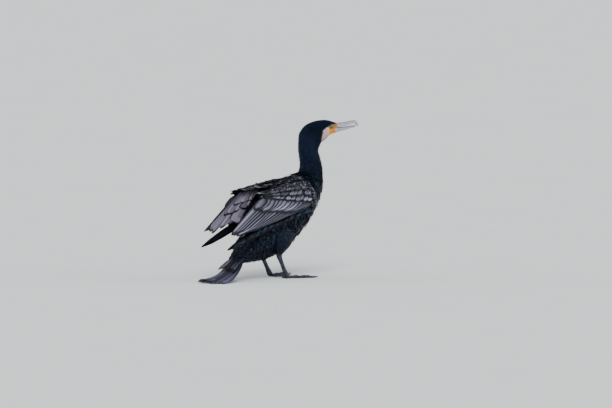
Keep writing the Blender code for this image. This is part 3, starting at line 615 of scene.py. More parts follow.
# The bill
# Two horny halves, pale lilac grey and finely streaked along their length. The upper one is grooved along
# each side and ends in a hooked nail.
# Rows: x ahead of the neck, height of the mouth line, height of the half, half width
UPPER_BILL = [
    (0.0850, 0.4280, 0.0132, 0.0118),
    (0.0895, 0.4285, 0.0125, 0.0112),
    (0.102, 0.4305, 0.0112, 0.0096),
    (0.116, 0.4330, 0.0100, 0.0080),
    (0.130, 0.4362, 0.0092, 0.0066),
    (0.142, 0.4385, 0.0090, 0.0056),
    (0.150, 0.4378, 0.0090, 0.0046),
    (0.1555, 0.4335, 0.0098, 0.0034),
    (0.1580, 0.4305, 0.0078, 0.0020),
    (0.1588, 0.4292, 0.0030, 0.0008),
]
LOWER_BILL = [
    (0.0850, 0.4275, 0.0132, 0.0118),
    (0.0895, 0.4280, 0.0128, 0.0112),
    (0.102, 0.4300, 0.0108, 0.0094),
    (0.116, 0.4325, 0.0092, 0.0078),
    (0.130, 0.4357, 0.0078, 0.0062),
    (0.142, 0.4380, 0.0068, 0.0048),
    (0.149, 0.4388, 0.0050, 0.0034),
    (0.152, 0.4390, 0.0022, 0.0015),
]
BILL_OPEN = math.radians(4.5)
HINGE = (0.070, 0.4235)
MOUTH_SHARE = 0.26
GROOVE_AT, GROOVE_WIDTH, RIDGE_WIDTH = math.radians(44), 0.16, 0.22


def bill_place(rows, way, turn, share):
    """Points of one half of the bill: round its outer side, then back along the slightly hollow mouth."""
    x, mouth, height, half = follow(rows, share * (len(rows) - 1)).T
    outer = turn < 1 - MOUTH_SHARE
    angle = np.clip(turn / (1 - MOUTH_SHARE), 0, 1) * math.pi
    back = np.clip((turn - 1 + MOUTH_SHARE) / MOUTH_SHARE, 0, 1)
    from_ridge = angle - math.pi / 2
    groove = (0.16 if way > 0 else 0.07) * bell(np.abs(from_ridge) - GROOVE_AT, GROOVE_WIDTH)
    ridge = (0.05 if way > 0 else -0.10) * bell(from_ridge, RIDGE_WIDTH)
    size = 1 + (ridge - groove) * soft_step(x, 0.146, 0.128)
    y = np.where(outer, np.cos(angle) * size, -1 + 2 * back) * half
    hollow = 0.10 * np.sin(back * math.pi)
    z = mouth + way * height * np.where(outer, np.abs(np.sin(angle)) ** 0.8 * size, hollow)
    if way < 0:
        ahead, up = x - HINGE[0], z - HINGE[1]
        c, s = math.cos(BILL_OPEN), math.sin(BILL_OPEN)
        x, z = HINGE[0] + ahead * c + up * s, HINGE[1] + up * c - ahead * s
    return out_of_head(np.stack([x, y, z], -1))


def bill_paint(name, way):
    """Horn with fine streaks along the bill. The upper half is browner on the ridge and at the nail, and the
    lower half is yellow where the throat's skin runs out between its two bones."""
    paint = Paint(name)
    across, along = paint.map("bill")
    laid = paint.node("CombineXYZ", {}, {"X": across * 3.0, "Y": along * 0.5})["Vector"]
    streaks = paint.noise(laid, 26, 6.0, (3.0, 1.0, 1.0))
    blotches = paint.noise(paint.place(), 170)
    colour = paint.mix(streaks.between(0.32, 0.68), (0.19, 0.182, 0.255), (0.50, 0.48, 0.625))
    colour = paint.mix(blotches.between(0.5, 0.8) * 0.5, colour, (0.62, 0.60, 0.73))
    from_ridge = abs(across - (1 - MOUTH_SHARE) / 2)
    if way > 0:
        colour = paint.mix(from_ridge.between(0.15, 0.04) * 0.75, colour, (0.06, 0.055, 0.065))
        # A dark line along the groove of the upper half is painted shade in the groove.
        groove = abs(from_ridge - 0.181).between(0.035, 0.0) * along.between(0.85, 0.7) * 0.45
        colour = paint.mix(groove, colour, (0.07, 0.06, 0.08))
        colour = paint.mix(along.between(0.86, 0.97) * 0.35, colour, (0.30, 0.26, 0.25))
        colour = paint.mix(along.between(0.17, 0.10) * 0.6, colour, (0.55, 0.40, 0.16))
    else:
        throat = from_ridge.between(0.075, 0.05) * along.between(0.55, 0.25)
        colour = paint.mix(throat, colour, (0.80, 0.36, 0.03))
        colour = paint.mix(along.between(0.20, 0.08) * 0.7, colour, (0.56, 0.47, 0.52))
    # The dark mouth face between the halves is partly the horn's dark cutting edges and partly painted shade
    # in the gap between them.
    mouth = across.between(0.97 - MOUTH_SHARE, 1 - MOUTH_SHARE + 0.02) * across.between(1.0, 0.98) * 0.9
    colour = paint.mix(mouth, colour, (0.05, 0.04, 0.05))
    paint.set(Base_Color=colour, Roughness=0.42 - streaks * 0.12, Normal=paint.bump(streaks, 0.0006, 0.35))
    return paint.set(Coat_Weight=0.25, Coat_Roughness=0.25)


for half, rows, way in (("upper", UPPER_BILL, 1), ("lower", LOWER_BILL, -1)):
    horn = rolled("horn_" + half, 52, 110, lambda turn, share: bill_place(rows, way, turn, share), "bill")
    finished(horn, bill_paint("pale_horn_" + half, way), "bill_horn", "bill_" + half)

# The legs and feet
# Short stout shanks under a net of small scales, four long toes joined by one web, cross plates along the top
# of each toe, and a black claw on each.
# Rows for the left shank: x, y, z, the radius fore and aft, and the radius across
SHANK = np.array(
    [
        (-0.0475, 0.042, 0.078, 0.0088, 0.0082),
        (-0.046, 0.042, 0.066, 0.0085, 0.0075),
        (-0.041, 0.0415, 0.055, 0.0068, 0.0055),
        (-0.034, 0.041, 0.040, 0.0062, 0.0048),
        (-0.027, 0.0405, 0.026, 0.0064, 0.0052),
        (-0.021, 0.040, 0.014, 0.0078, 0.0070),
        (-0.017, 0.040, 0.0068, 0.0080, 0.0078),
        (-0.0155, 0.040, 0.0025, 0.0050, 0.0050),
    ]
)
SHANK_PLATES = 26
ANKLE = (-0.015, 0.040)
# Each toe: degrees to the side of forward, length without the claw, radius at the root
TOES = ((24, 0.084, 0.0042), (3, 0.072, 0.0044), (-22, 0.052, 0.0042), (-84, 0.028, 0.0038))
TOE_PLATES = (30, 24, 17, 9)
# How the radius changes from a toe's root to its tip
KNUCKLES = (
    (0, 0.14, 0.20, 0.34, 0.44, 0.54, 0.62, 0.70, 0.78, 0.90, 1),
    (1.15, 0.98, 0.92, 0.92, 1.02, 0.86, 0.76, 0.78, 0.90, 0.80, 0.55),
)
CLAW_LENGTH = 0.0125
WEB_HALF = 0.0007
LOWEST = 0.0002


def plated(share, count):
    """The height of overlapping plates, each with a steep edge and a long slope."""
    edge = (share * count) % 1
    return np.minimum(edge * 6, 1) * (1 - 0.7 * edge) - 0.35


def toe_line(degrees, reach, way):
    """Points under a toe at their reach from the ankle, and the direction across the toe."""
    angle = math.radians(degrees)
    out = np.array((math.cos(angle), way * math.sin(angle), 0.0))
    ankle = np.array((ANKLE[0] + MIDLINE.x, way * ANKLE[1], 0))
    return ankle + out * reach[:, None], np.array((-out[1], out[0], 0))


def toe_place(turn, share, way, toe, plates):
    """Points round a toe, with its knuckles, its cross plates on top and pads beneath."""
    degrees, length, radius = toe
    angle = turn * RING
    thick = radius * np.interp(share, *KNUCKLES)
    r = thick * np.sqrt(np.clip(1 - ((share - 0.94) / 0.06).clip(0, 1) ** 2 * 0.85, 0.02, 1))
    top = np.clip(np.cos(angle), 0, 1) ** 0.5
    r = r + top * 0.00028 * plated(share, plates)
    r = r + (1 - top) * 0.00016 * np.sin(share * plates * 2.6 * RING) * np.sin(angle * 9)
    points, across = toe_line(degrees, length * share, way)
    points = points + across * (np.sin(angle) * r)[:, None]
    points[:, 2] = np.maximum(thick * 0.76 + np.cos(angle) * r, LOWEST)
    return points


def claw_place(turn, share, way, toe):
    """Points round a claw, which leaves the toe's tip level and bends down to the floor."""
    degrees, length, radius = toe
    angle = turn * RING
    r = radius * 0.52 * (1 - share**1.6) ** 0.8 + 0.00012
    points, across = toe_line(degrees, length * 0.965 + CLAW_LENGTH * share, way)
    points = points + across * (np.sin(angle) * r * 0.8)[:, None]
    height = radius * (0.80 + 0.30 * np.sin(share * 2.6) - 0.72 * share**2)
    points[:, 2] = np.maximum(height + np.cos(angle) * r, LOWEST)
    return points


def web_place(turn, share, way, first, second):
    """The web between two toes, drawn in along its free edge, as a flat closed roll."""
    over = np.where(turn < 0.5, turn * 2, 2 - turn * 2)
    (turn_a, length_a), (turn_b, length_b) = first[:2], second[:2]
    drawn_in = 0.95 - 0.60 * over * (1 - over)
    reach = (length_a * (1 - over) + length_b * over) * drawn_in * (0.08 + 0.92 * share)
    angle = np.radians(turn_a * (1 - over) + turn_b * over)
    sag = 0.0008 * np.sin(over * math.pi) * np.sin(share * 9 + over * 3)
    rounded = np.sin(np.clip(turn % 0.5 * 2, 0.02, 0.98) * math.pi) ** 0.3
    lift = np.where(turn < 0.5, 1, -1) * WEB_HALF * rounded
    x = ANKLE[0] + MIDLINE.x + reach * np.cos(angle)
    y = way * (ANKLE[1] + reach * np.sin(angle))
    return np.stack([x, y, np.maximum(0.0020 + sag + lift, LOWEST)], -1)


def shank_place(turn, share, way):
    """Points round the shank, with rows of cross plates down its front and small round scales elsewhere."""
    angle, t = turn * RING, share * (len(SHANK) - 1)
    points = limb_place(SHANK, t, angle, way)
    outwards = unit(points - limb_place(SHANK * (1, 1, 1, 0, 0), t, angle, way))
    front = np.clip(np.cos(angle), 0, 1) ** 0.7
    lift = front * 0.00026 * plated(share, SHANK_PLATES)
    scale_rows = share * 44 * math.pi + (np.round(turn * 20) % 2) * math.pi
    lift += (1 - front) * 0.00018 * np.sin(scale_rows) * np.abs(np.sin(angle * 10))
    points = points + outwards * lift[:, None]
    points[:, 2] = np.maximum(points[:, 2], LOWEST)
    return points


foot_paint = Paint("scaled_leg_skin")
foot_spot = foot_paint.place()
net_places = {"Vector": foot_spot, "Scale": 620}
net = foot_paint.node("TexVoronoi", {"feature": "DISTANCE_TO_EDGE"}, net_places)["Distance"]
foot_blotches = foot_paint.noise(foot_spot, 130)
foot_colour = foot_paint.mix(foot_blotches.between(0.35, 0.7), (0.012, 0.013, 0.024), (0.052, 0.052, 0.088))
foot_paint.set(
    Base_Color=foot_paint.mix(net.between(0.10, 0.0) * 0.7, foot_colour, (0.006, 0.006, 0.007)),
    Roughness=0.30 + foot_blotches * 0.16,
    Specular_IOR_Level=0.25,
    Normal=foot_paint.bump(net.between(0.0, 0.22), 0.0006, 0.6),
)
claw_paint = Paint("black_claw")
claw_grain = claw_paint.noise(claw_paint.place(), 700)
claw_colour = claw_paint.mix(claw_grain, (0.008, 0.008, 0.009), (0.035, 0.032, 0.030))
claw_paint.set(Base_Color=claw_colour, Roughness=0.25 + claw_grain * 0.15)
claw_paint.set(Coat_Weight=0.4, Coat_Roughness=0.15)
for side, way in SIDES.items():
    leg = rolled("leg_" + side, 40, 190, lambda turn, share: shank_place(turn, share, way))
    parts = []
    for toe, plates in zip(TOES, TOE_PLATES):
        part = rolled("toe", 24, plates * 7, lambda turn, share: toe_place(turn, share, way, toe, plates))
        parts.append(part)
    for first, second in zip(TOES, TOES[1:]):
        parts.append(rolled("web", 40, 24, lambda turn, share: web_place(turn, share, way, first, second)))
    grown_together(leg, parts)
    finished(leg, foot_paint, "foot_skin", "shank_" + side, "foot_" + side)
    claws = bmesh.new()
    for toe in TOES:
        claw = rolled("claw", 14, 24, lambda turn, share: claw_place(turn, share, way, toe))
        claws.from_mesh(claw.data)
        bpy.data.objects.remove(claw)
    finished(new_object("claws_" + side, claws), claw_paint, "foot_skin")

# The small feathers
# Overlapping contour feathers clothe the head, neck, trunk and thighs in staggered rows from the bill to the
# tail. They are tiny and velvety on the head and broad and glossy on the breast. Each is a closed pillow,
# laid on the skin and rising from its root to its tip.
PATCH = 0.003
VANE = 0.00050
SEEN_WITHIN = 0.0012
CLING_WITHIN = 0.004
BARBS_SHOWN = 0.2
BLACK = (0.002, 0.0025, 0.005)
# Outlines: places along the feather, then the share of its half width
CONTOUR = ((0, 0.25, 0.55, 0.8, 1), (0.35, 0.80, 1.0, 0.84, 0.36))
ROUND = ((0, 0.3, 0.6, 0.8, 0.92, 1), (0.4, 0.8, 1.0, 0.96, 0.78, 0.45))
LONG = ((0, 0.15, 0.4, 0.7, 0.88, 1), (0.35, 0.70, 0.95, 1.0, 0.82, 0.40))
# Along the body's rows: the spacing of the roots, then the length, the half width and the height at the tip
BODY_SPACING = (
    (0, 1.5, 4, 7, 8.2, 10, 12, 15, 17, 19),
    (0.0062, 0.0072, 0.0076, 0.0062, 0.0040, 0.0030, 0.0025, 0.0020, 0.0017, 0.0013),
)
BODY_LENGTHS = (
    (0, 4, 7, 8.2, 10, 12, 15, 17, 19),
    (0.021, 0.026, 0.020, 0.014, 0.0105, 0.0086, 0.0066, 0.0048, 0.0030),
)
BODY_HALVES = (
    (0, 4, 7, 8.2, 10, 12, 15, 17, 19),
    (0.0047, 0.0055, 0.0044, 0.0029, 0.0022, 0.0018, 0.0014, 0.0012, 0.0009),
)
BODY_HEIGHTS = ((0, 6, 8, 11, 14, 17, 19), (0.0036, 0.0062, 0.0042, 0.0023, 0.0017, 0.0011, 0.0007))
# How far feathers vary: their direction in radians, then the shares of length, half width and height
BODY_SPREADS = (0.14, 0.07, 0.06, 0.26)
LIMB_SPREADS = (0.09, 0.07, 0.07, 0.07)
# Thigh feathers: spacing, then length, half width and height
THIGH_SPACING, THIGH_FEATHER = 0.0050, (0.016, 0.0042, 0.0034)


def feather_form(across, along, thick):
    """A flat grid and its twin beneath it, joined along their rim. Returns each point's place across the
    feather, from -1 to 1, and along it, from 0 to 1, its side (1, 0 or -1), the faces and the thickness."""
    bm = bmesh.new()
    bmesh.ops.create_grid(bm, x_segments=across, y_segments=along, size=0.5)
    twin = bmesh.ops.duplicate(bm, geom=bm.faces[:])["geom"]
    under = [part for part in twin if isinstance(part, bmesh.types.BMFace)]
    low = {v for face in under for v in face.verts}
    bmesh.ops.reverse_faces(bm, faces=under)
    for v in bm.verts:
        inner = abs(v.co.x) < 0.499 and abs(v.co.y) < 0.499
        v.co.z = inner * (-1 if v in low else 1)
    bmesh.ops.remove_doubles(bm, verts=bm.verts, dist=1e-4)
    bm.verts.index_update()
    co = np.array([v.co for v in bm.verts])
    faces = np.array([[v.index for v in f.verts] for f in bm.faces])
    bm.free()
    return co[:, 0] * 2, co[:, 1] + 0.5, co[:, 2], faces, thick


FORMS = {
    "tiny": feather_form(2, 2, 0.00016),
    "small": feather_form(2, 3, 0.0002),
    "broad": feather_form(4, 6, 0.0003),
    "covert": feather_form(6, 9, VANE),
    "long": feather_form(8, 26, VANE),
}
skin_faces = [p.vertices for p in skin.data.polygons]
skin_tree = BVHTree.FromPolygons([v.co for v in skin.data.vertices], skin_faces)
draw = np.random.default_rng(11)


def laid(form, roots, ways, normals, sizes, heights, outline=CONTOUR, camber=0.10, tip=0.16, surface=None):
    """Copies of one form, one at each root: along its way, and over the surface if one is given. The sizes
    are the lengths and half widths, and the heights are those at the root and at the tip."""
    a, s, w, faces, thick = FORMS[form]
    lengths, halves = sizes
    ways = unit(ways)
    normals = unit(normals - ways * (normals * ways).sum(-1, keepdims=True))
    sides = np.cross(ways, normals)
    along = s - tip * a**2 * s**2
    flat = roots[:, None] + ways[:, None] * (along[None] * lengths[:, None])[..., None]
    flat = flat + sides[:, None] * (np.interp(s, *outline) * a * halves[:, None])[..., None]
    up = np.broadcast_to(normals[:, None], flat.shape).copy()
    if surface is not None:
        flat, up = flat.reshape(-1, 3), up.reshape(-1, 3)
        for k, point in enumerate(flat):
            near, up[k], _, gap = surface.find_nearest(Vector(point))
            flat[k] += (np.array(near) - point) * min(1.0, CLING_WITHIN / max(gap, 1e-9))
        flat, up = flat.reshape(len(roots), len(a), 3), up.reshape(len(roots), len(a), 3)
    low, high = heights
    rise = low[:, None] + (high - low)[:, None] * s**1.15
    rise = rise + halves[:, None] * camber * (1 - a**2) * (0.3 + 0.7 * s) + thick * w * 0.5
    return (flat + up * rise[..., None]).reshape(-1, 3), faces, a, s


def bunch(name, batches, paint, slot):
    """Joins batches of feathers into one piece. A batch holds its laid points, a tone for each feather, its
    place on the unwrapped skin, the size of its patch there, and how pale it is."""
    verts, quads, shown, baked, tones, pales, start = [], [], [], [], [], [], 0
    for (points, faces, a, s), tone, unwrapped, patch, pale in batches:
        count, size = len(points) // len(a), len(a)
        verts.append(points)
        step = start + np.arange(count)[:, None, None] * size
        quads.append((faces[None] + step).reshape(-1, faces.shape[1]))
        shown.append(np.tile(np.stack([a / 2 + 0.5, s], -1), (count, 1)))
        local = np.stack([a / 2 * patch[0], (s - 0.5) * patch[1]], -1)
        baked.append((unwrapped[:, None] + local[None]).reshape(-1, 2))
        tones.append(np.repeat(tone, size))
        pales.append(np.repeat(pale, size))
        start += count * size
    verts, quads, shown, baked = (np.concatenate(rows) for rows in (verts, quads, shown, baked))
    mesh = bpy.data.meshes.new(name)
    mesh.vertices.add(len(verts))
    mesh.vertices.foreach_set("co", verts.ravel())
    mesh.loops.add(quads.size)
    mesh.loops.foreach_set("vertex_index", quads.ravel())
    mesh.polygons.add(len(quads))
    mesh.polygons.foreach_set("loop_start", np.arange(0, quads.size, 4))
    for label, places in (("vane", shown), ("OFBake", baked)):
        layer = mesh.uv_layers.new(name=label)
        layer.data.foreach_set("uv", places[quads.ravel()].ravel())
    give(mesh, "tone", np.concatenate(tones))
    give(mesh, "pale", np.concatenate(pales))
    mesh.update(calc_edges=True)
    mesh.shade_smooth()
    obj = bpy.data.objects.new(name, mesh)
    bpy.context.scene.collection.objects.link(obj)
    finished(obj, paint, slot)


def staggered(place, t_from, t_to, spacing):
    """Roots in staggered rows round a limb, with the rows' spacing given for each t. Returns t and angle."""
    turns = np.linspace(0, RING, 73)
    jitter = 0.14
    all_t, all_angles, t, odd = [], [], t_from, 0
    while t < t_to:
        gap = np.interp(t, *spacing)
        ring, before, after = (place(np.full_like(turns, t + step), turns) for step in (0, -0.05, 0.05))
        around = np.concatenate([[0], np.cumsum(np.linalg.norm(np.diff(ring, axis=0), axis=1))])
        count = max(6, round(around[-1] / gap))
        spots = (np.arange(count) + 0.5 * odd + draw.normal(0, jitter, count)) / count % 1
        all_angles.append(np.interp(spots * around[-1], around, turns))
        speed = np.linalg.norm(after - before, axis=1).mean() / 0.1
        all_t.append(t + draw.normal(0, jitter, count) * gap / speed)
        t += gap * 0.86 / speed
        odd = 1 - odd
    return np.concatenate(all_t), np.concatenate(all_angles)


def surface_frame(place, t, angle, toward=-1):
    """Points with the way along the limb and the normal there."""
    points = place(t, angle)
    way = unit(place(t + 0.02, angle) - place(t - 0.02, angle)) * toward
    across = place(t, angle + 0.02) - place(t, angle - 0.02)
    return points, way, unit(np.cross(way, across)) * toward


def turned(ways, normals, angles):
    """Ways turned about their normals by angles in radians."""
    c, s = np.cos(angles)[:, None], np.sin(angles)[:, None]
    return ways * c + np.cross(normals, ways) * s


def unrolled(angle, share):
    """Places on the unwrapped skin for turns round a limb and shares along it."""
    return np.stack([0.01 + 0.98 * angle / RING, 0.01 + 0.98 * share], -1)


def clothed(form, points, ways, normals, sizes, spreads, unwrapped, chosen=True, low=0.0001, droop=0.0):
    """Feathers on the chosen points that lie on the outside of the skin. The sizes are the length, the half
    width and the height at the tip, low is the height at the root, and droop leans them backwards."""
    shown = np.array([skin_tree.find_nearest(Vector(p))[3] < SEEN_WITHIN for p in points]) & chosen
    points, ways, normals = points[shown], ways[shown], normals[shown]
    count = len(points)
    ways = turned(ways, normals, draw.normal(0, spreads[0], count)) - (droop, 0, 0)
    length, half, top = (
        np.broadcast_to(size, shown.shape)[shown] * draw.normal(1, spread, count)
        for size, spread in zip(sizes, spreads[1:])
    )
    heights = (np.full(count, low), top)
    batch = laid(form, points, ways, normals, (length, half), heights, surface=skin_tree)
    return batch, draw.uniform(0, 1, count), unwrapped[shown], (PATCH, PATCH), pale_share(points)


def plume_paint(
    name, dull, bright, side, tip, gloss,
    edge=BLACK, shaft=None, quill=0.085, curl=0.05, sheen=0.0, pale=None, painted_sheen_tint=None, shine=0.35,
):
    """The finish of a feather: its middle, which runs from dull to bright between feathers, its dark edge
    along the sides and at the tip, its shaft, and fine barbs that slant from the shaft."""
    paint = Paint(name)
    across, along = paint.map("vane")
    tone = paint.attribute("tone")
    off = abs(across * 2 - 1)
    barbs = (along * 290 - off * 80 + tone * 9).maths("SINE")
    slots = paint.node("CombineXYZ", {}, {"X": tone * 40, "Y": along * 9 - off * 3})["Vector"]
    ragged = paint.noise(slots, 3.0) - 0.5
    middle = paint.mix(tone * tone, dull, bright)
    middle = paint.mix(barbs.between(-0.6, 0.9) * BARBS_SHOWN, middle, edge)
    middle = paint.mix(along.between(0.75, 0.1) * 0.45, middle, edge)
    if shaft:
        middle = paint.mix(off.between(quill, quill * 0.4), middle, shaft)
    at_tip = (along + off * off * curl + ragged * 0.08).between(*tip)
    rim = (off + ragged * 0.10).between(*side).maths("MAXIMUM", at_tip)
    colour = paint.mix(rim, middle, edge)
    # Noise patches of a second blue over the body are a painted iridescent sheen.
    if painted_sheen_tint:
        painted_sheen_patches = paint.noise(paint.place(), 17, 2.0).between(0.42, 0.62)
        colour = paint.mix(painted_sheen_patches * (1 - rim) * 0.7, colour, painted_sheen_tint)
    metal = sheen
    if pale:
        paleness = paint.attribute("pale")
        colour = paint.mix(paleness, colour, pale)
        metal = (1 - paleness) * sheen
    bump = paint.bump(barbs * 0.5 - off.between(0.0, 0.14) * 1.5, 0.0003, 0.35)
    paint.set(Base_Color=colour, Roughness=gloss + barbs * 0.04, Normal=bump)
    return paint.set(Metallic=metal, Specular_IOR_Level=shine)


# The head and body feathers carry a painted iridescent sheen as patches of a second blue.
head_plume = plume_paint(
    "head_feathers", (0.002, 0.009, 0.026), (0.010, 0.034, 0.086), (0.6, 1.0), (0.65, 1.0), 0.40,
    edge=(0.001, 0.004, 0.013), sheen=0.5, pale=(0.98, 0.74, 0.65), painted_sheen_tint=(0.010, 0.018, 0.066), shine=0.28,
)
body_plume = plume_paint(
    "body_feathers", (0.003, 0.009, 0.025), (0.018, 0.044, 0.094), (0.50, 0.78), (0.66, 0.86), 0.36,
    sheen=0.5, painted_sheen_tint=(0.006, 0.024, 0.052), shine=0.28,
)
# The pale lilac middles of a few back feathers, and of the small wing and tail coverts that share this paint,
# are partly their bronze colour and partly a painted gloss highlight.
back_plume = plume_paint(
    "back_feathers", (0.012, 0.012, 0.018), (0.350, 0.330, 0.470), (0.34, 0.58), (0.70, 0.86), 0.40,
    shaft=(0.010, 0.010, 0.013), curl=0.12, shine=0.25,
)


def body_feathers(form, t_from, t_to, chosen=lambda t, angle: True, size=1.0, slim=1.0):
    """Feathers round the body between two of its rows, where they are chosen and the skin isn't bare."""
    spacing = (BODY_SPACING[0], np.array(BODY_SPACING[1]) * size * slim)
    t, angle = staggered(lambda t, angle: body_place(t, angle, 0.002), t_from, t_to, spacing)
    depth = np.interp(t, *COAT_DEPTHS)
    points, ways, normals = surface_frame(lambda t, angle: body_place(t, angle, depth), t, angle)
    lengths, halves = size * np.interp(t, *BODY_LENGTHS), size * slim * np.interp(t, *BODY_HALVES)
    sizes = (lengths, halves, np.interp(t, *BODY_HEIGHTS))
    low, high = t_from - 0.2, t_to + 0.2
    unwrapped = unrolled(angle, (t - low) / (high - low))
    wanted = (bare_share(points) < 0.35) & chosen(t, angle)
    return clothed(form, points, ways, normals, sizes, BODY_SPREADS, unwrapped, wanted)


def on_back(t, angle):
    """The mantle and the back between the wings."""
    from_back = np.abs((angle + math.pi) % RING - math.pi)
    return (from_back < np.interp(t, (1, 3, 6.5, 7.6), (0.55, 0.95, 1.05, 0.6))) & (t > 1.2) & (t < 7.25)


def limb_feathers(rows, way, t_from, t_to, spacing, sizes, droop=0.0):
    """Feathers all round a limb, which get smaller towards its end."""
    rows = np.array(rows)
    span = len(rows) - 1

    def place(t, angle):
        return limb_place(rows, t, angle, way)

    t, angle = staggered(place, t_from, t_to, ((0, 9), (spacing, spacing)))
    points, ways, _ = surface_frame(place, t, angle, 1)
    outwards = unit(points - limb_place(rows * (1, 1, 1, 0, 0), t, angle, way))
    shrink = np.interp(t / span, (0, 0.5, 1), (1, 0.85, 0.45))
    sizes = [size * shrink for size in sizes]
    unwrapped = unrolled(angle, t / span)
    return clothed("broad", points, ways, outwards, sizes, LIMB_SPREADS, unwrapped, droop=droop)


bunch("head_coat", [body_feathers("tiny", 13.2, 18.9)], head_plume, "plumage")
bunch("neck_coat", [body_feathers("small", 7.9, 13.4)], head_plume, "plumage")
bunch("belly_coat", [body_feathers("broad", 0.1, 3.6, lambda t, a: ~on_back(t, a))], body_plume, "plumage")
bunch("breast_coat", [body_feathers("broad", 3.6, 8.1, lambda t, a: ~on_back(t, a))], body_plume, "plumage")
bunch("back_coat", [body_feathers("broad", 0.1, 8.1, on_back, 1.45, 0.68)], back_plume, "plumage")
for side, way in SIDES.items():
    thigh_coat = limb_feathers(THIGH, way, 0.2, 4.9, THIGH_SPACING, THIGH_FEATHER, 0.10)
    bunch("thigh_coat_" + side, [thigh_coat], body_plume, "plumage")

# The folded wings
# The arm's flat is clothed in small coverts. Rows of larger ones follow below, then the long secondaries,
# and under them the black primaries. Long shoulder feathers lie over the wing's upper edge, and three tiers
# line its inner face.
LAYER = 0.00075
OUTWARDS = np.array((0, 1.0, 0.3))
SECONDARY_ROOTS = [(-0.112, 0.0625, 0.2435), (0.046, 0.0765, 0.2165)]
SECONDARY_TIPS = [
    (-0.236, 0.066, 0.143),
    (-0.232, 0.068, 0.141),
    (-0.222, 0.072, 0.139),
    (-0.200, 0.075, 0.141),
    (-0.184, 0.077, 0.146),
    (-0.160, 0.079, 0.150),
    (-0.135, 0.081, 0.158),
    (-0.100, 0.082, 0.168),
]
PRIMARIES = 10
PRIMARY_ROOTS = [(0.040, 0.075, 0.199), (-0.046, 0.067, 0.190)]
PRIMARY_TIPS = [
    (-0.150, 0.072, 0.148),
    (-0.210, 0.0665, 0.118),
    (-0.250, 0.0615, 0.097),
    (-0.235, 0.060, 0.104),
]
# Rows of median coverts: how many, degrees round the arm at the roots and at the tips, the tips' lift, how
# far back they reach in rows of the arm, half width, and tones
COVERT_STARTS = np.linspace(4.6, 0.85, 6)
MEDIAN_ROWS = (
    (10, 38, 76, 0.0060, 0.50, 0.0114, (0.0, 0.8)),
    (11, 68, 106, 0.0068, 0.50, 0.0112, (0.1, 0.9)),
    (11, 98, 142, 0.0074, 0.55, 0.0112, (0.5, 1.0)),
)
# Small coverts: degrees round the arm from and to, rows of the arm from and to, spacing, then length, half
# width and height, and how far they slant down
LESSER_PATCHES = (
    ((-20, 14), (0.1, 4.95), 0.0075, (0.020, 0.0050, 0.0030), 0.15),
    ((14, 40), (0.1, 4.95), 0.0080, (0.024, 0.0054, 0.0036), 0.25),
    ((40, 165), (0.0, 0.75), 0.0075, (0.019, 0.0050, 0.0046), 0.40),
)
UNDER_PATCH = ((178, 330), (0.1, 4.95), 0.0085, (0.020, 0.0060, 0.0030), 0.2)
ARM_SPREADS = (0.08, 0.06, 0.06, 0.06)
ARM_ROW = 0.036
# Rows of shoulder feathers: the first and last root, the run from root to tip, half width, and facing
ROOF_COUNT = 9
ROOF_ROWS = (
    ((0.052, 0.047, 0.2720), (-0.072, 0.057, 0.2590), (-0.074, 0.004, -0.011), 0.0125, (0, 0.2, 1)),
    ((0.044, 0.044, 0.2715), (-0.060, 0.0545, 0.2595), (-0.066, -0.017, -0.008), 0.0130, (-0.1, -0.25, 1)),
)
TERTIAL_ROOTS = [(-0.055, 0.047, 0.260), (-0.103, 0.053, 0.252)]
TERTIAL_TIPS = [
    (-0.098, 0.049, 0.205),
    (-0.119, 0.048, 0.164),
    (-0.150, 0.050, 0.156),
    (-0.185, 0.053, 0.149),
    (-0.206, 0.056, 0.139),
    (-0.222, 0.059, 0.136),
]
# Tiers on the wing's inner face: form, how many, reach as a share of the longest, lift and half width
INNER_TIERS = (
    ("long", 6, 1.0, 0.0, 0.0175),
    ("covert", 7, 0.58, 0.0035, 0.0145),
    ("covert", 8, 0.33, 0.0065, 0.0120),
)
# Hand coverts: spacing, then length, half width and height
HAND_SPACING, HAND_FEATHER = 0.0060, (0.016, 0.0046, 0.0016)
# The pale lilac middles of the shoulder feathers are partly their bronze colour and partly a painted gloss
# highlight.
shoulder_plume = plume_paint(
    "shoulder_feathers", (0.040, 0.037, 0.054), (0.440, 0.400, 0.545), (0.46, 0.68), (0.80, 0.92), 0.42,
    shaft=(0.02, 0.018, 0.022), shine=0.25,
)
covert_plume = plume_paint(
    "wing_covert_feathers", (0.050, 0.047, 0.070), (0.430, 0.410, 0.590), (0.26, 0.56), (0.66, 0.82), 0.46,
    shaft=(0.03, 0.028, 0.040), curl=0.26,
)
# The pale lilac webs and near-white shafts of the long wing feathers are partly their grey colour and partly
# a painted gloss highlight.
flight_plume = plume_paint(
    "long_wing_feathers", (0.090, 0.086, 0.130), (0.350, 0.336, 0.495), (0.56, 0.78), (0.90, 0.97), 0.46,
    shaft=(0.50, 0.475, 0.66), quill=0.13, curl=0.08,
)
greater_plume = plume_paint(
    "greater_covert_feathers", (0.085, 0.081, 0.118), (0.310, 0.297, 0.432), (0.48, 0.80), (0.70, 0.90), 0.46,
    shaft=(0.24, 0.228, 0.33), curl=0.16,
)
tertial_plume = plume_paint(
    "inner_wing_feathers", (0.125, 0.113, 0.158), (0.345, 0.305, 0.415), (0.74, 0.92), (0.90, 0.97), 0.5,
    edge=(0.012, 0.011, 0.017), shaft=(0.05, 0.04, 0.05),
)
hand_plume = plume_paint(
    "wing_tip_feathers", (0.003, 0.0035, 0.006), (0.010, 0.011, 0.018), (0.6, 0.9), (0.8, 0.95), 0.55,
    shaft=(0.012, 0.012, 0.015), shine=0.12,
)


def along_rows(rows, share):
    return follow(rows, np.asarray(share) * (len(rows) - 1))


def partway(roots, tips, across, share):
    """Points at a share of the way from roots to tips, at places across from the first to the last."""
    start = along_rows(roots, across)
    return start + (along_rows(tips, across) - start) * share


def arm_line(t, degrees, lift):
    """Points on the left arm, counted from the midline."""
    return arm_place(t, math.radians(degrees), 1, lift) - MIDLINE


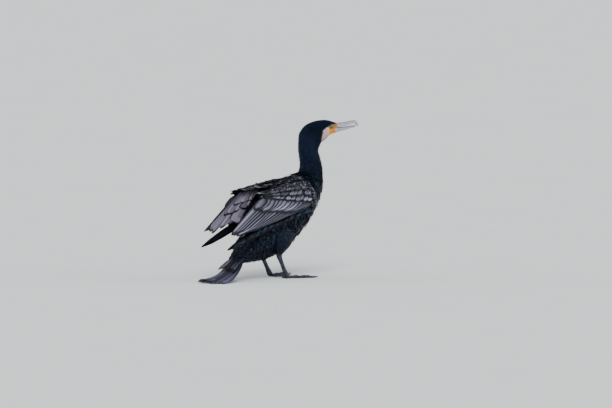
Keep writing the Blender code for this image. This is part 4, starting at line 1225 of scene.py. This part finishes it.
def tier(
    form, count, roots, tips, half, way, facing, lift,
    outline=LONG, bow=0.0, tip=0.06, top=False, camber=0.0, loose=1.0,
):
    """A row of feathers that overlap like tiles along the smooth sheet between their roots and their tips.
    Each rises towards the next one and lies over it. The lift is for the root, a third and the tip."""
    one_a, one_s, one_w, faces, thick = FORMS[form]

    def sheet(q, s):
        share = q / (count - 1)
        return along_rows(roots, share) * (1 - s)[:, None] + along_rows(tips, share) * s[:, None]

    def place(q, s):
        """Points of the sheet, which goes straight on beyond its first and last feather."""
        inside = np.clip(q, 0, count - 1)
        here = sheet(inside, s)
        near = sheet(inside + np.where(q > count - 1, -0.25, 0.25), s)
        return here + (here - near) * (np.abs(q - inside) * 4)[:, None]

    order = np.repeat(np.arange(count, dtype=float), len(one_a))
    shift = np.repeat(draw.normal(0, 0.10 * loose, count), len(one_a))
    stretch = np.repeat(draw.normal(1, 0.018 * loose, count), len(one_a))
    a, s, w = (np.tile(values, count) for values in (one_a, one_s, one_w))
    root, end = np.zeros_like(order), np.ones_like(order)
    along = (s - tip * a**2 * s**2) * stretch
    ahead = unit(place(order, end) - place(order, root))
    across = (place(order + 0.25, s) - place(order - 0.25, s)) * 2
    spacing = np.linalg.norm(across - ahead * (across * ahead).sum(-1, keepdims=True), axis=-1)
    reach = np.minimum(half * np.interp(s, *outline) / spacing, 2.2) * a
    q = order + reach + shift * s
    turn = place(q + 0.25, along) - place(q - 0.25, along)
    normal = unit(np.cross(place(q, end) - place(q, root), turn))
    normal = normal * np.sign(normal @ facing)[:, None]
    rise = LAYER * reach
    if top:
        rise = np.where(order == 0, LAYER * 1.15, rise)
    rise = rise + np.interp(s, (0, 0.33, 1), lift) + bow * 4 * s * (1 - s)
    rise = rise + w * thick / 2 + bell(a, 0.12) * 0.00035 * (1.1 - s) * (w > 0) + camber * (1 - a**2) * half
    points = (place(q, along) + normal * rise[:, None]) * (1, way, 1) + MIDLINE
    points[:, 2] = np.maximum(points[:, 2], LOWEST + 0.0001 * (w + 1))
    corners = points[faces[0]]
    facing_now = np.cross(corners[1] - corners[0], corners[2] - corners[1])
    outward = normal[faces[0, 0]] * (1, way, 1) * (1 if one_w[faces[0]].max() > 0 else -1)
    return points, (faces if facing_now @ outward > 0 else faces[:, ::-1]), one_a, one_s


def strips(count, height):
    """Places of long feathers side by side on the unwrapped wing."""
    return np.stack([0.03 + 0.94 * (np.arange(count) + 0.5) / count, np.full(count, height)], -1)


def strip(tiered, first, rows, tones=(0.0, 1.0), end_tone=1.0):
    """A tier with tones and its strips on the unwrapped wing. Its end feather, which no other one covers, may
    be darker."""
    count = len(tiered[0]) // len(tiered[2])
    tone = draw.uniform(*tones, count)
    tone[0] *= end_tone
    return tiered, tone, strips(count, first + rows / 2), (0.86 / count, rows * 0.94), np.zeros(count)


def arm_feathers(way, turns, rows, spacing, sizes, slant):
    """Small coverts over part of the arm, in slanting rows."""
    t, angle = [], []
    for k, turn in enumerate(np.arange(*turns, math.degrees(spacing / ARM_ROW))):
        row = np.arange(*rows, spacing / ARM_ROW) + (k % 2) * spacing / (2 * ARM_ROW)
        t.append(row + draw.normal(0, 0.04, len(row)))
        angle.append(np.radians(turn + draw.normal(0, 2, len(row))))
    t, angle = np.concatenate(t), np.concatenate(angle)
    points = arm_place(t, angle, way)
    ahead = unit(arm_place(t + 0.05, angle, way) - arm_place(t - 0.05, angle, way))
    down = unit(arm_place(t, angle + 0.05, way) - arm_place(t, angle - 0.05, way))
    normals = unit(np.cross(ahead, down)) * way
    from_inside = points - arm_place(t, angle * 0 + math.pi / 2, way, -0.02)
    normals = normals * np.sign((from_inside * normals).sum(-1))[:, None]
    unwrapped = unrolled(angle % RING, t / ARM_END)
    ways = unit(ahead + down * slant)
    return clothed("broad", points, ways, normals, sizes, ARM_SPREADS, unwrapped, low=0.0002)


def roof_feathers(way):
    """Two rows of long feathers from the shoulder over the wing's upper edge."""
    share = np.linspace(0, 1, ROOF_COUNT)[:, None]
    roots, runs, facings, halves = [], [], [], []
    for first, last, run, half, facing in ROOF_ROWS:
        roots.append((np.array(first) * (1 - share) + np.array(last) * share) * (1, way, 1) + MIDLINE)
        runs.append(np.array(run) * (1, way, 1) * (0.62 + 0.38 * share))
        facings.append(np.array(facing) * (1, way, 1) * np.ones_like(share))
        halves.append(half * (0.75 + 0.25 * share[:, 0]))
    roots, runs, facings, halves = (np.concatenate(rows) for rows in (roots, runs, facings, halves))
    count = len(roots)
    runs = turned(runs, unit(facings), draw.normal(0, 0.05, count))
    heights = (np.full(count, -0.002), draw.normal(0.0045, 0.0007, count))
    sizes = (np.linalg.norm(runs, axis=1), halves)
    batch = laid("long", roots, runs, facings, sizes, heights, LONG, 0.14, 0.10)
    unwrapped = np.concatenate([strips(ROOF_COUNT, 0.25), strips(ROOF_COUNT, 0.75)])
    return batch, draw.uniform(0, 0.8, count), unwrapped, (0.09, 0.46), np.zeros(count)


def primary_feathers(way):
    """The long black feathers of the hand, which show under the secondaries."""
    share, flat = np.linspace(0, 1, PRIMARIES), np.zeros(PRIMARIES)
    roots = along_rows(PRIMARY_ROOTS, share)
    runs = (along_rows(PRIMARY_TIPS, share) - roots) * (1, way, 1)
    facing = np.tile(np.array((0, way, 0.0)), (PRIMARIES, 1))
    sizes = (np.linalg.norm(runs, axis=1), np.full(PRIMARIES, 0.0105))
    batch = laid("long", roots * (1, way, 1) + MIDLINE, runs, facing, sizes, (flat, flat), LONG, 0.03, 0.05)
    return batch, draw.uniform(0, 1, PRIMARIES), strips(PRIMARIES, 0.5), (0.08, 0.94), flat


def flank_feathers(way):
    """Body feathers that lap up over the primaries from below."""
    q, reach = (grid.ravel() for grid in np.meshgrid(np.linspace(0, 1, 7), np.arange(0.02, 0.88, 0.034)))
    count = len(q)
    q = np.clip(q + draw.normal(0, 0.09, count), 0, 1)
    reach = reach + draw.normal(0, 0.020, count)
    points = partway(PRIMARY_ROOTS, PRIMARY_TIPS, q, reach[:, None]) + OUTWARDS * 0.0022
    runs = along_rows(PRIMARY_TIPS, q) - along_rows(PRIMARY_ROOTS, q)
    runs = (runs + np.array((0, 0, -0.03)) + draw.normal(0, 0.012, (count, 3))) * (1, way, 1)
    facing = np.tile(OUTWARDS * (1, way, 1), (count, 1))
    sizes = (0.024 * draw.normal(1, 0.1, count), 0.0042 * draw.normal(1, 0.1, count))
    heights = (np.zeros(count), draw.normal(0.0030, 0.0008, count))
    batch = laid("broad", points * (1, way, 1) + MIDLINE, runs, facing, sizes, heights)
    unwrapped = np.stack([0.02 + 0.96 * q, 0.02 + 0.96 * reach / 0.9], -1)
    return batch, draw.uniform(0, 0.7, count), unwrapped, (PATCH, PATCH), np.zeros(count)


for side, way in SIDES.items():
    under_arm = arm_line(np.linspace(4.9, 0.9, 5), 128, -0.002)
    ends = partway(SECONDARY_ROOTS, SECONDARY_TIPS, np.linspace(0, 1, 5), 0.38) + OUTWARDS * 0.0036
    secondaries = tier("long", 14, SECONDARY_ROOTS, SECONDARY_TIPS, 0.0155, way, OUTWARDS, (-0.0015, 0, 0))
    greater_lift = (0.0010, 0.0035, 0.0020)
    greater = tier("long", 14, under_arm, ends, 0.0105, way, OUTWARDS, greater_lift, tip=0.20, loose=2.5)
    long_row = strip(secondaries, 0.0, 1.0, (0.45, 1.0), 0.5)
    bunch("secondaries_" + side, [long_row], flight_plume, "flight_feathers")
    greater_row = strip(greater, 0.0, 1.0, (0.35, 1.0), 0.4)
    bunch("greater_coverts_" + side, [greater_row], greater_plume, "wing_plumage")
    median = []
    for k, (count, root_turn, tip_turn, tip_lift, back, half, tones) in enumerate(MEDIAN_ROWS):
        first = arm_line(COVERT_STARTS, root_turn, -0.002)
        last = arm_line(np.minimum(COVERT_STARTS + back, ARM_END), tip_turn, tip_lift)
        shape = {"outline": CONTOUR, "tip": 0.36, "camber": 0.12, "loose": 2.8}
        coverts = tier("covert", count, first, last, half, way, OUTWARDS, (0, 0.001, 0), **shape)
        median.append(strip(coverts, k / 3, 1 / 3, tones, 0.5))
    bunch("median_coverts_" + side, median, covert_plume, "wing_plumage")
    lesser = [arm_feathers(way, *patch) for patch in LESSER_PATCHES]
    bunch("lesser_coverts_" + side, lesser, back_plume, "wing_plumage")
    bunch("under_coverts_" + side, [arm_feathers(way, *UNDER_PATCH)], hand_plume, "wing_plumage")
    bunch("shoulder_feathers_" + side, [roof_feathers(way)], shoulder_plume, "wing_plumage")
    inner = []
    for k, (form, count, reach, lift, half) in enumerate(INNER_TIERS):
        roots = np.array(TERTIAL_ROOTS) - OUTWARDS * lift * 0.5
        ends = partway(TERTIAL_ROOTS, TERTIAL_TIPS, np.linspace(0, 1, 6), reach) - OUTWARDS * lift
        shape = {"outline": ROUND, "tip": 0.16, "camber": 0.06, "loose": 1.5}
        vanes = tier(form, count, roots, ends, half, way, -OUTWARDS, (0, 0.001, 0), **shape)
        inner.append(strip(vanes, k / 3, 1 / 3))
    bunch("inner_feathers_" + side, inner, tertial_plume, "flight_feathers")
    bunch("primaries_" + side, [primary_feathers(way)], hand_plume, "flight_feathers")
    bunch("flank_feathers_" + side, [flank_feathers(way)], body_plume, "plumage")
    hand_coat = limb_feathers(HAND, way, 0.1, 3.9, HAND_SPACING, HAND_FEATHER)
    bunch("hand_coverts_" + side, [hand_coat], body_plume, "wing_plumage")

# The tail
# Fourteen stiff, worn feathers bow down to the floor and lie flat on it at their tips. The middle pair lies
# on top, and each further one under its neighbour. Short coverts close their roots from above.
UPWARDS = np.array((-0.5, 0, 1.0))
TAIL_ROOTS = [(-0.175, 0.004, 0.0565), (-0.172, 0.030, 0.0540)]
TAIL_TIPS = [(-0.292, 0.005, 0.0065), (-0.286, 0.032, 0.0040), (-0.262, 0.056, -0.0006)]
TAIL_BOW = -0.013
TAIL_COVERT_ROOTS = [(-0.1710, 0.003, 0.0710), (-0.1690, 0.027, 0.0620)]
TAIL_COVERT_TIPS = [(-0.216, 0.004, 0.0350), (-0.211, 0.036, 0.0290)]
tail_plume = plume_paint(
    "tail_feathers", (0.056, 0.052, 0.098), (0.175, 0.163, 0.285), (0.60, 0.82), (0.93, 0.99), 0.48,
    shaft=(0.28, 0.265, 0.39), quill=0.12,
)
tail_rows, tail_covert_rows = [], []
for first, way in zip((0.0, 0.5), SIDES.values()):
    shape = {"bow": TAIL_BOW, "top": way > 0, "tip": 0.05}
    feathers = tier("long", 7, TAIL_ROOTS, TAIL_TIPS, 0.0118, way, UPWARDS, (-0.001, 0, 0), **shape)
    tail_rows.append(strip(feathers, first, 0.5))
    ends = (TAIL_COVERT_ROOTS, TAIL_COVERT_TIPS)
    short = tier("covert", 7, *ends, 0.0072, way, UPWARDS, (0, 0.001, 0.0006), top=way > 0, tip=0.2)
    tail_covert_rows.append(strip(short, first, 0.5))
bunch("tail_feathers", tail_rows, tail_plume, "flight_feathers")
bunch("tail_coverts", tail_covert_rows, back_plume, "plumage")
